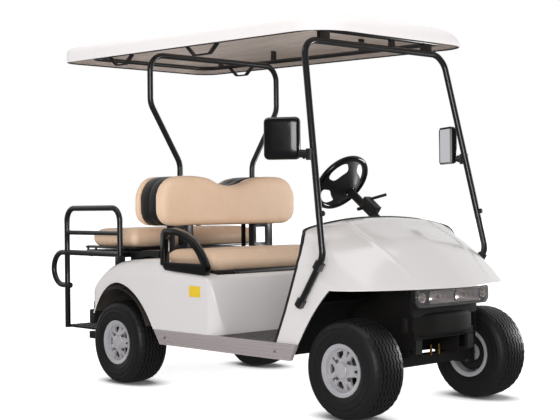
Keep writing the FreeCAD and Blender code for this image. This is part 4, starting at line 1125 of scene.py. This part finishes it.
def upholstery():
    """The four padded pieces and the shells between the backrests."""
    low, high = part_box("backrest_cushions")
    shell_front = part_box("backrest_shells")[1].x
    rear_face = low.x + 0.046
    pads = (
        # name, mesh, body, nodes that it replaces, fill
        ("front_seat_pad", crowned_cushion("front_seat_cushion", 0.028, 5), "front_seat",
         ("front_seat_cushion",), 0.7),
        ("rear_seat_pad", crowned_cushion("rear_seat_cushion", 0.02, 4), "rear_seat",
         ("rear_seat_cushion",), 0.7),
        ("front_back_pad", back_cushion(shell_front + 0.001, 1, high.x - shell_front - 0.003), CART,
         ("backrest_cushions",), 0.8),
        ("rear_back_pad", back_cushion(rear_face, -1, 0.044), CART, (), 0.8),
    )
    for name, mesh, body, replaces, fill in pads:
        piece(name, mesh, "tan_vinyl", body, 60, replaces)
    back_shells(rear_face + 0.001, shell_front)


# ---------------------------------------------------------------- fittings and trim

def rib(start, end, radius):
    """A straight round rib."""
    return cord_mesh("rib", [start, end], radius, 8)


def rocker_ribs():
    """Raised flutes along both aluminium sill plates, and the screws that hold them."""
    low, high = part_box("rocker_panels")
    rear_slant, fore_slant = 0.053, 0.043
    screw = ((0, 0.0), (0, 0.0065), (0.0016, 0.0058), (0.003, 0.0035), (0.0034, 0.0))
    for label, side in SIDES:
        bars = []
        for k in range(4):
            share = 0.14 + 0.24 * k
            z = low.z + (high.z - low.z) * share
            start = low.x + rear_slant * (1 - share) + 0.004
            end = high.x - fore_slant * (1 - share) - 0.004
            bars.append(rib((start, side * high.y, z), (end, side * high.y, z), 0.0026))
        piece("sill_ribs_" + label, joined("ribs", bars), "ribbed_aluminium")
        y, z = side * (high.y + 0.0008), (low.z + high.z) / 2
        screws = [turned("screw", screw, (x, y, z), (0, side, 0), 20) for x in (low.x + 0.1, high.x - 0.14)]
        piece("sill_screws_" + label, joined("screws", screws), "plated_bolt_steel")


def mat_ribs():
    """Narrow ribs along the floor mat, in three fields."""
    low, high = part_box("floor_mat")
    bars = []
    count = 54
    for k in range(count):
        y = low.y + 0.02 + (high.y - low.y - 0.04) * k / (count - 1)
        for start, end in ((0.008, 0.155), (0.165, 0.32), (0.33, 0.478)):
            bars.append(rib((low.x + start, y, high.z), (low.x + end, y, high.z), 0.0035))
    piece("floor_mat_ribs", joined("mat_ribs", bars), "rubber_matting")


def tread_plate():
    """Raised bars of the chequer pattern on the rear footplate."""
    low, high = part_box("footplate")
    step = 0.026
    rim = 0.016
    rows = math.ceil((high.x - low.x - rim - 0.012) / step)
    columns = math.ceil((high.y - low.y - rim - 0.012) / step)
    bars = []
    for row in range(rows):
        for column in range(columns):
            turn = math.radians(45 if (row + column) % 2 else -45)
            reach = Vector((math.cos(turn), math.sin(turn), 0)) * 0.0095
            at = Vector((low.x + rim + row * step, low.y + rim + column * step, high.z + 0.0002))
            line = [at - reach, at - reach * 0.5, at + reach * 0.5, at + reach]
            bars.append(cord_mesh("bar", line, 0.0022, 6))
    piece("footplate_tread", joined("tread", bars), "chassis_paint")


def nose_panel():
    """The rounded black box under the lamps: its front bulges, its ends turn back and are finely ribbed."""
    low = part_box("front_shield")[0]
    base, top, reach, corner = 0.358, 0.468, 0.242, 0.022
    rows = []
    for i in range(41):
        y = reach * math.sin((-1 + i / 20) * math.pi / 2)
        share = abs(y) / reach
        front = low.x + 0.034 - 0.066 * share ** 3.5
        lift = 0.016 * share ** 8
        ribbed = smoothstep(0.186, 0.19, abs(y)) * (1 - smoothstep(0.225, 0.23, abs(y)))
        ripple = 0.0011 * (1 + math.cos(2 * math.pi * y / 0.011)) * ribbed
        ring = [(low.x - 0.06, base + lift), (front - 0.026, base + lift)]
        ring += [(a + ripple, b) for a, b in arc((front - corner, base + lift + corner), corner, -90, 0, 6)]
        ring += [(a + ripple, b) for a, b in arc((front - corner, top - lift - corner), corner, 0, 90, 6)]
        ring += [(front - 0.026, top - lift), (low.x - 0.06, top - lift)]
        rows.append([Vector((x, y, z)) for x, z in ring])
    piece("nose_lower_panel", lofted("nose", rows), "liner_plastic", smooth=60, replaces=("front_shield",))
    backing = block_mesh((low.x - 0.02, -0.235, 0.45), (low.x + 0.012, 0.235, 0.556), 0.03, 0.008)
    piece("lamp_backing", backing, "chassis_paint")


def under_nose():
    """Black plates between the nose panel and the front axle, kept inside the sweep of the steered tyres."""
    low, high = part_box("front_axle")
    back = low.x - 0.02
    half = 0.226
    plates = [block_mesh((back, -0.3, 0.262), (back + 0.012, 0.3, 0.366), 0.03, 0.004),
              block_mesh((back - 0.01, -half, 0.352), (high.x + 0.13, half, 0.36), 0.03, 0.003)]
    for side in (1, -1):
        for y in (0.13, half - 0.012):
            near, far = sorted((side * y, side * (y + 0.012)))
            plates.append(block_mesh((back, near, 0.262), (high.x + 0.1, far, 0.4), 0.03, 0.003))
    piece("under_nose_plates", joined("plates", plates), "liner_plastic", smooth=30)


def sheet_on_both_sides(name, rows, finish_name, replaces=()):
    """A thin sheet from rows of (x, y, z) in millimetres on the left, and the same on the right."""
    for label, side in SIDES:
        points = [[spot(x, side * y, z) for x, y, z in row] for row in rows]
        piece(name + "_" + label, thickened(mesh_of("sheet", *lattice(points)), 2), finish_name, CART, 50,
              replaces if side > 0 else ())


LEAST_ARCH = 236          # an arch liner comes no nearer to the hub than this


def arch_rows(centre_x, angles, radius, near, far, covered):
    """An arched sheet over a wheel, drawn in wherever the panel over it would not cover it."""
    rows = []
    for i in range(29):
        angle = math.radians(angles[0] + (angles[1] - angles[0]) * i / 28)
        row = []
        for k in range(9):
            y = near + (far - near) * k / 8
            span = radius
            while span > LEAST_ARCH and not covered(centre_x + span * math.cos(angle), y,
                                                    HUB_HEIGHT + span * math.sin(angle)):
                span -= 2
            row.append((centre_x + span * math.cos(angle), y, HUB_HEIGHT + span * math.sin(angle)))
        rows.append(row)
    return rows


def wall_rows(y, start, end, base, top):
    """The upright sheet on the inner side of a wheel arch; base and top give its edges along the cart."""
    stations = [start + (end - start) * i / 24 for i in range(25)]
    return [[(x, y, base(x) + (top(x) - base(x)) * k / 6) for k in range(7)] for x in stations]


def under_hood(x, y, z):
    """Whether the hood covers a point, with room to spare."""
    return x < hood_edge(y) - 16 and z < min(hood_height(x, y) - 14, 584)


def under_body(x, y, z):
    """Whether the rear body covers a point, with room to spare."""
    return x > TAIL + 14 and z < body_surface(x, y, BODY_HALF - y) - 12


def liners():
    """The sheets inside all four wheel arches."""
    inside, outside = 232, COWL_HALF - 9
    arch = arch_rows(WHEELBASE, (100, 168), 312, inside, outside, under_hood)
    wall = wall_rows(inside, 1330, 1852, lambda x: 300, lambda x: hood_height(max(x, 1440), inside) - 60)
    sheet_on_both_sides("front_liner", arch, "liner_plastic", ("wheel_liners",))
    sheet_on_both_sides("front_inner_wall", wall, "liner_plastic")
    inside, outside = 346, BODY_HALF - 10
    arch = arch_rows(0, (21, 143), 300, inside, outside, under_body)
    wall = wall_rows(inside, TAIL + 16, 345, lambda x: 400 if x < -150 else 332,
                     lambda x: eased(BODY_TOP, x, 18) - 60)
    # the rear sheets wear a painted lighter tone that stands in for the light falling into the rear arches
    sheet_on_both_sides("rear_liner", arch, "painted_lit_liner")
    sheet_on_both_sides("rear_inner_wall", wall, "painted_lit_liner")


def trims():
    """The edges of the dash and the wheel arches, and the blank yellow patch."""
    dash_trim()
    rear_edge = [(x, z) for x, z in REAR_ARCH if z > 330]
    front_edge = [(WHEELBASE - 247, COWL_FOOT)] + FRONT_ARCH
    for label, side in SIDES:
        for name, edge, y, finish_name in (
                ("rear_arch_lip_", rear_edge, BODY_HALF - 2, "gloss_white_abs"),
                ("front_arch_lip_", front_edge, COWL_HALF - 3, "moulded_black_plastic")):
            line = [spot(x, side * y, z) for x, z in edge]
            piece(name + label, cord_mesh("lip", line, 4 * MM, 8), finish_name, smooth=60)
    back, fore, base, top = 666, 756, 513, 568
    rows = [[spot(back + (fore - back) * j / 8, -(BODY_HALF + 0.6), base + (top - base) * i / 6)
             for j in range(9)] for i in range(7)]
    piece("blank_patch", thickened(mesh_of("patch", *lattice(rows)), 0.8), "yellow_film")


def strut_hardware():
    """Round knobs on the front hoop, and the bolts through its clamps."""
    foot = spot(WHEELBASE - 222, COWL_HALF + 16.3, COWL_TOP - 402)
    knee = spot(WHEELBASE - 60, COWL_HALF + 18.1, COWL_TOP - 169)
    head = spot(WHEELBASE - 262, 506, ROOF_TOP - 174)
    knob = ((0, 0.0), (0, 0.009), (0.006, 0.009), (0.007, 0.0125), (0.014, 0.0125), (0.017, 0.009),
            (0.018, 0.0))
    for label, side in SIDES:
        at = knee + (head - knee) * 0.193
        at = Vector((at.x + 0.014, side * at.y, at.z))
        piece("strut_knob_" + label, turned("knob", knob, at, (1, 0, 0.2), 20), "moulded_black_plastic")
        bolts = []
        for share in (0.03, 0.14, 0.78, 0.9):
            at = foot + (knee - foot) * share
            bolts += hex_bolt((at.x - 0.012, side * (at.y + 0.012), at.z + 0.006), (0, side, 0), 11)
        piece("clamp_bolts_" + label, joined("bolts", bolts), "plated_bolt_steel")


def axle_bolts():
    """Plated bolts on the front axle, seen below the nose panel."""
    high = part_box("front_axle")[1]
    shank = ((0, 0.0), (0, 0.006), (0.05, 0.006), (0.052, 0.0))
    bolts = []
    for y in (-0.11, -0.05, 0.05, 0.11):
        at = Vector((high.x, y, high.z - 0.012))
        bolts.append(turned("bolt", shank, at, (0, 0, 1), 14))
        bolts += hex_bolt(at + Vector((0, 0, 0.03)), (0, 0, 1), 14)
    piece("axle_bolts", joined("bolts", bolts), "passivated_brass")


def spoke_opening(quarter):
    """One of the four rounded openings in the steering wheel's dish, seen along the column."""
    shape = []
    for swing, reach in once_round(40):
        angle = math.radians(45 + 90 * quarter + 30 * math.copysign(abs(swing) ** 0.6, swing))
        along = 0.119 + 0.025 * math.copysign(abs(reach) ** 0.6, reach)
        shape.append((along * math.cos(angle), along * math.sin(angle)))
    return shape


def steering_wheel():
    """A thick moulded rim on a wide dished centre with four openings, turned by its own joint."""
    joint = next(item for item in frame["joints"] if item["name"] == "steering_turn")
    centre = Vector(joint["pos_m"])
    axis = Vector(joint["axis"])
    turn = axis.to_track_quat("Z", "Y").to_matrix()
    low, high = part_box("steering_wheel")
    grip = 0.0165
    radius = (high.y - low.y) / 2 - grip
    ring = [centre + turn @ Vector((radius * c, radius * s, 0)) for c, s in once_round(64)]
    piece("steering_rim", cord_mesh("rim", ring, grip, 14, True), "gloss_black_plastic", "steering_wheel", 60,
          ("steering_wheel",))
    steps = ((0.028, -0.082), (0.04, -0.077), (0.056, -0.067), (0.074, -0.053), (0.09, -0.041),
             (0.104, -0.031), (0.118, -0.022), (0.132, -0.013), (0.146, -0.005), (radius, 0.0))
    rows = [[Vector((reach * c, reach * s, depth)) for c, s in once_round(96)] for reach, depth in steps]
    dish = thickened(mesh_of("dish", *lattice(rows, wrap_columns=True)), 9)
    for quarter in range(4):
        dish = carved(dish, ("DIFFERENCE", cutter(spoke_opening(quarter), "z", -0.2, 0.2)))
    dish.transform(Matrix.Translation(centre) @ turn.to_4x4())
    piece("steering_dish", dish, "moulded_black_plastic", "steering_wheel", 40)
    cap = ((-0.03, 0.0), (-0.03, 0.05), (-0.018, 0.056), (-0.008, 0.054), (-0.002, 0.044), (0.0, 0.0))
    piece("steering_cap", turned("cap", cap, centre - axis * 0.022, axis, 40), "moulded_black_plastic",
          "steering_wheel", 40)


def points_on_side(node, side):
    """A CAD node's points on one side of the cart."""
    return [vertex.co.copy() for vertex in frame["nodes"][node].data.vertices if vertex.co.y * side > 0]


def mirror_housings():
    """Each mirror's moulded back: a shallow tray with rounded corners that swells away from the glass."""
    upward = Vector((0, 0, 1))
    radius = 0.024
    for label, side in SIDES:
        glass = points_on_side("mirror_glasses", side)
        shell = points_on_side("mirror_housings", side)
        across = max(glass, key=lambda point: point.y) - min(glass, key=lambda point: point.y)
        across = Vector((across.x, across.y, 0)).normalized()
        ahead = Vector((abs(across.y), -across.x * math.copysign(1, across.y), 0))
        spans = [[point.dot(way) for point in shell] for way in (across, ahead, upward)]
        (left, right), (near, far), (base, top) = [(min(span), max(span)) for span in spans]
        rows = []
        for share, inset in ((0.16, 0.006), (0.1, 0.001), (0.0, 0.0), (0.3, 0.0), (0.6, 0.0015), (0.8, 0.005),
                             (0.92, 0.012), (0.98, 0.024), (1.0, 0.042)):
            edge = radius + inset
            ring = []
            for u, v, start in ((right - edge, top - edge, 0), (left + edge, top - edge, 90),
                                (left + edge, base + edge, 180), (right - edge, base + edge, 270)):
                ring += [across * a + ahead * (near + (far - near) * share) + upward * b
                         for a, b in arc((u, v), radius, start, start + 90, 8)]
            rows.append(ring)
        piece("mirror_back_" + label, lofted("mirror", rows), "gloss_black_plastic", smooth=60,
              replaces=("mirror_housings",) if side > 0 else ())


def average(points):
    """The middle of some points."""
    return sum(points, Vector()) / len(points)


def mirror_clamps():
    """A moulded clamp where each mirror arm meets its strut, with the screw that tightens it."""
    for label, side in SIDES:
        arm = points_on_side("mirror_arms", side)
        fore = max(point.x for point in arm)
        back = min(point.x for point in arm)
        root = average([point for point in arm if point.x > fore - 0.02])
        tip = average([point for point in arm if point.x < back + 0.02])
        away = (tip - root).normalized()
        body = cord_mesh("clamp", [root + away * reach for reach in (0.012, 0.016, 0.052, 0.056)], 0.019, 14)
        heights = [Vector((0, 0, height)) for height in (-0.026, -0.022, 0.022, 0.026)]
        collar = cord_mesh("collar", [root + height for height in heights], 0.0225, 18)
        screw = hex_bolt(root + away * 0.034 - Vector((0, 0, 0.018)), (0, 0, -1), 12)
        piece("mirror_clamp_" + label, joined("clamps", [body, collar] + screw), "moulded_black_plastic")


def seat_bolts():
    """The bolts that hold the backrests to their brackets."""
    low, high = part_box("backrest_brackets")
    bolts = []
    for side in (1, -1):
        for y in (0.235, 0.362):
            for z in (low.z + 0.02, high.z - 0.16):
                bolts += hex_bolt((high.x, side * y, z), (1, 0, 0), 12)
    piece("bracket_bolts", joined("bolts", bolts), "plated_bolt_steel")


ROUNDED = (
    # node, edge radius in millimetres, finish
    ("armrests", 5.0, "gloss_black_plastic"),
    ("roof_handles", 2.5, "moulded_black_plastic"),
    ("steering_column", 3.0, "moulded_black_plastic"),
    ("strut_clamps", 2.0, "black_powder_coat"),
    ("backrest_brackets", 1.2, "black_powder_coat"),
    ("front_seat_board", 3.0, "moulded_black_plastic"),
    ("rear_seat_deck", 2.0, "black_powder_coat"),
    ("rear_seat_frame", 2.0, "black_powder_coat"),
    ("rear_bumper", 8.0, "moulded_black_plastic"),
    ("front_struts", 0.6, "black_powder_coat"),
    ("rear_struts", 0.6, "black_powder_coat"),
    ("rear_handrails", 0.6, "black_powder_coat"),
    ("roof_frame", 0.6, "black_powder_coat"),
    ("mirror_arms", 0.6, "black_powder_coat"),
    ("dash_panel", 3.0, "moulded_black_plastic"),
    ("light_bar_housing", 3.0, "moulded_black_plastic"),
    ("front_axle", 1.5, "chassis_paint"),
    ("rocker_panels", 1.5, "ribbed_aluminium"),
    ("tail_lamps", 2.0, "red_lens"),
    ("seat_pan", 0.8, "chassis_paint"),
)


def softened_nodes():
    """CAD shapes that are right but for their sharp edges, kept inside the roof and the rear body."""
    for node, radius, finish_name in ROUNDED:
        softened(node, radius, finish_name)
    for vertex in bpy.data.objects["roof_frame_soft"].data.vertices:
        x, y = (vertex.co.x - REAR_AXLE) / MM, vertex.co.y / MM
        offset = min(x - ROOF_TAIL, ROOF_TIP - x, ROOF_HALF - abs(y))
        vertex.co.z = min(vertex.co.z, (roof_surface(x, y, offset) - 9) * MM)
    for vertex in bpy.data.objects["seat_pan_soft"].data.vertices:
        vertex.co.x = min(vertex.co.x, spot(795, 0, 0).x)
        vertex.co.y = min(max(vertex.co.y, -0.56), 0.56)


def finish_frame():
    """Gives every CAD node that stays in view its finish."""
    for name, node in frame["nodes"].items():
        for holder in node.material_slots:
            slot_name = holder.material.name.split(".")[0]
            maker = chassis_paint if name == "footplate" else SLOT_FINISHES[slot_name][0]
            holder.material = FINISHES[maker.__name__]


# ---------------------------------------------------------------- stage, light and camera

FLOOR_BOUNCE = 0.74       # extra glow of the floor that only lights the cart
ROOM_FILL = 0.46          # even light from all around
BACKDROP = 0.9            # how bright the pale backdrop looks in reflections
DARK_ROOM = 0.1           # and the unlit room opposite it
PLAIN_WHITE = 1.0
# Near the cart the floor's glow holds a painted contact shadow from ambient occlusion, fading out between
# these two distances.
NEAR_PAPER = 1.8          # the floor shows the cart's shade up to here, in metres from the middle
FAR_PAPER = 4.5           # and is plain white from here on


def paper_sweep():
    """A seamless white paper sweep: plain white to the eye and greyer where the cart shades it. Next to the
    tyres its glow is darkened by a painted contact shadow from ambient occlusion.
    """
    material = finish("white paper sweep", "d8d8d8", 0.9, Specular_IOR_Level=0.0)
    shader = material.node_tree.nodes["Principled BSDF"]
    shader.inputs["Emission Color"].default_value = (1, 1, 1, 1)
    rays = add(material, "ShaderNodeLightPath").outputs
    place = add(material, "ShaderNodeTexCoord").outputs["Object"]
    away = add(material, "ShaderNodeVectorMath", {0: place}, operation="LENGTH")
    # painted contact shadow: ambient occlusion darkens the floor's glow next to the tyres
    near = add(material, "ShaderNodeAmbientOcclusion", {"Distance": 0.17}, samples=16)
    painted_contact_shadow = add(material, "ShaderNodeMapRange",
                {"Value": near.outputs["AO"], "From Min": 0.4, "From Max": 0.85,
                 "To Min": 0.02, "To Max": 0.9})
    glow = add(material, "ShaderNodeMapRange",
               {"Value": away.outputs["Value"], "From Min": NEAR_PAPER, "From Max": FAR_PAPER,
                "To Min": painted_contact_shadow.outputs["Result"], "To Max": PLAIN_WHITE})
    seen = add(material, "ShaderNodeMix", {"Factor": rays["Is Camera Ray"], "A": FLOOR_BOUNCE,
                                           "B": glow.outputs["Result"]}, data_type="FLOAT")
    tone = add(material, "ShaderNodeMix", {"Factor": rays["Is Glossy Ray"], "A": linear("d8d8d8"),
                                           "B": linear("505050")}, data_type="RGBA")
    dull = add(material, "ShaderNodeMath", {0: rays["Is Glossy Ray"], 1: -0.9, 2: 1.0},
               operation="MULTIPLY_ADD")
    shown = add(material, "ShaderNodeMath", {0: seen.outputs["Result"], 1: dull.outputs["Value"]},
                operation="MULTIPLY")
    material.node_tree.links.new(tone.outputs["Result"], shader.inputs["Base Color"])
    material.node_tree.links.new(shown.outputs["Value"], shader.inputs["Emission Strength"])
    return material


def floor():
    """The sheet of paper under the cart."""
    work = bmesh.new()
    bmesh.ops.create_grid(work, x_segments=4, y_segments=4, size=60)
    item = bpy.data.objects.new("floor", from_bmesh("floor", work))
    bpy.context.scene.collection.objects.link(item)
    item.data.materials.append(paper_sweep())


def white_room():
    """White to the eye, an even light on the cart, and a pale backdrop and a dark room in reflections."""
    world = bpy.data.worlds.new("white room")
    bpy.context.scene.world = world
    world.use_nodes = True
    room = world.node_tree.nodes["Background"]
    room.inputs["Color"].default_value = (1, 1, 1, 1)
    rays = add(world, "ShaderNodeLightPath").outputs
    way = add(world, "ShaderNodeTexCoord").outputs["Generated"]
    facing = add(world, "ShaderNodeVectorMath", {0: way, 1: (-0.73, 0.68, 0.1)}, operation="DOT_PRODUCT")
    shiny = add(world, "ShaderNodeMapRange", {"Value": facing.outputs["Value"], "From Min": -0.1,
                                              "From Max": 0.7, "To Min": DARK_ROOM, "To Max": BACKDROP})
    unseen = add(world, "ShaderNodeMix", {"Factor": rays["Is Glossy Ray"], "A": ROOM_FILL,
                                          "B": shiny.outputs["Result"]}, data_type="FLOAT")
    level = add(world, "ShaderNodeMix", {"Factor": rays["Is Camera Ray"], "A": unseen.outputs["Result"],
                                         "B": PLAIN_WHITE}, data_type="FLOAT")
    world.node_tree.links.new(level.outputs["Result"], room.inputs["Strength"])


def lamp(name, place, aim, width, height, power):
    """A soft lamp that looks at a point: place and size in metres, power in watts."""
    light = bpy.data.lights.new(name, "AREA")
    light.shape = "RECTANGLE"
    light.size = width
    light.size_y = height
    light.energy = power
    item = bpy.data.objects.new(name, light)
    item.location = place
    item.rotation_mode = "QUATERNION"
    item.rotation_quaternion = (Vector(aim) - Vector(place)).to_track_quat("-Z", "Y")
    bpy.context.scene.collection.objects.link(item)


def camera(place, yaw, pitch, roll, lens):
    """A camera at a place in metres. Its angles are in degrees: yaw from the cart's front, pitch up, roll."""
    settings = bpy.data.cameras.new("camera")
    settings.sensor_width = 36
    settings.lens = lens
    settings.clip_end = 200
    item = bpy.data.objects.new("camera", settings)
    bpy.context.scene.collection.objects.link(item)
    yaw, pitch, roll = math.radians(yaw), math.radians(pitch), math.radians(roll)
    forward = Vector((math.cos(yaw) * math.cos(pitch), math.sin(yaw) * math.cos(pitch), math.sin(pitch)))
    level_right = Vector((math.sin(yaw), -math.cos(yaw), 0))
    level_up = level_right.cross(forward)
    right = level_right * math.cos(roll) + level_up * math.sin(roll)
    up = level_up * math.cos(roll) - level_right * math.sin(roll)
    turn = Matrix((right, up, -forward)).transposed().to_4x4()
    item.matrix_world = Matrix.Translation(place) @ turn
    bpy.context.scene.camera = item


# ---------------------------------------------------------------- the piece list

front_cowl()
rear_body()
roof_shell()
wheels()
upholstery()
light_bar()
nose_panel()
rocker_ribs()
mat_ribs()
tread_plate()
trims()
strut_hardware()
axle_bolts()
under_nose()
liners()
steering_wheel()
mirror_housings()
mirror_clamps()
seat_bolts()
softened_nodes()
finish_frame()

floor()
white_room()
lamp("overhead", (0.2, -0.4, 3.3), (0, 0, 0.6), 3.4, 2.4, 42)
lamp("key", (5.6, -5.4, 2.3), (0, 0, 0.7), 4.0, 2.2, 215)
lamp("footwell_fill", (1.65, 3.2, 0.95), (0.28, -0.1, 0.45), 1.2, 0.8, 38)
camera((4.829, -4.372, 0.971), 137.19, -0.19, -0.58, 76.45)
bpy.context.scene.view_settings.view_transform = "Standard"
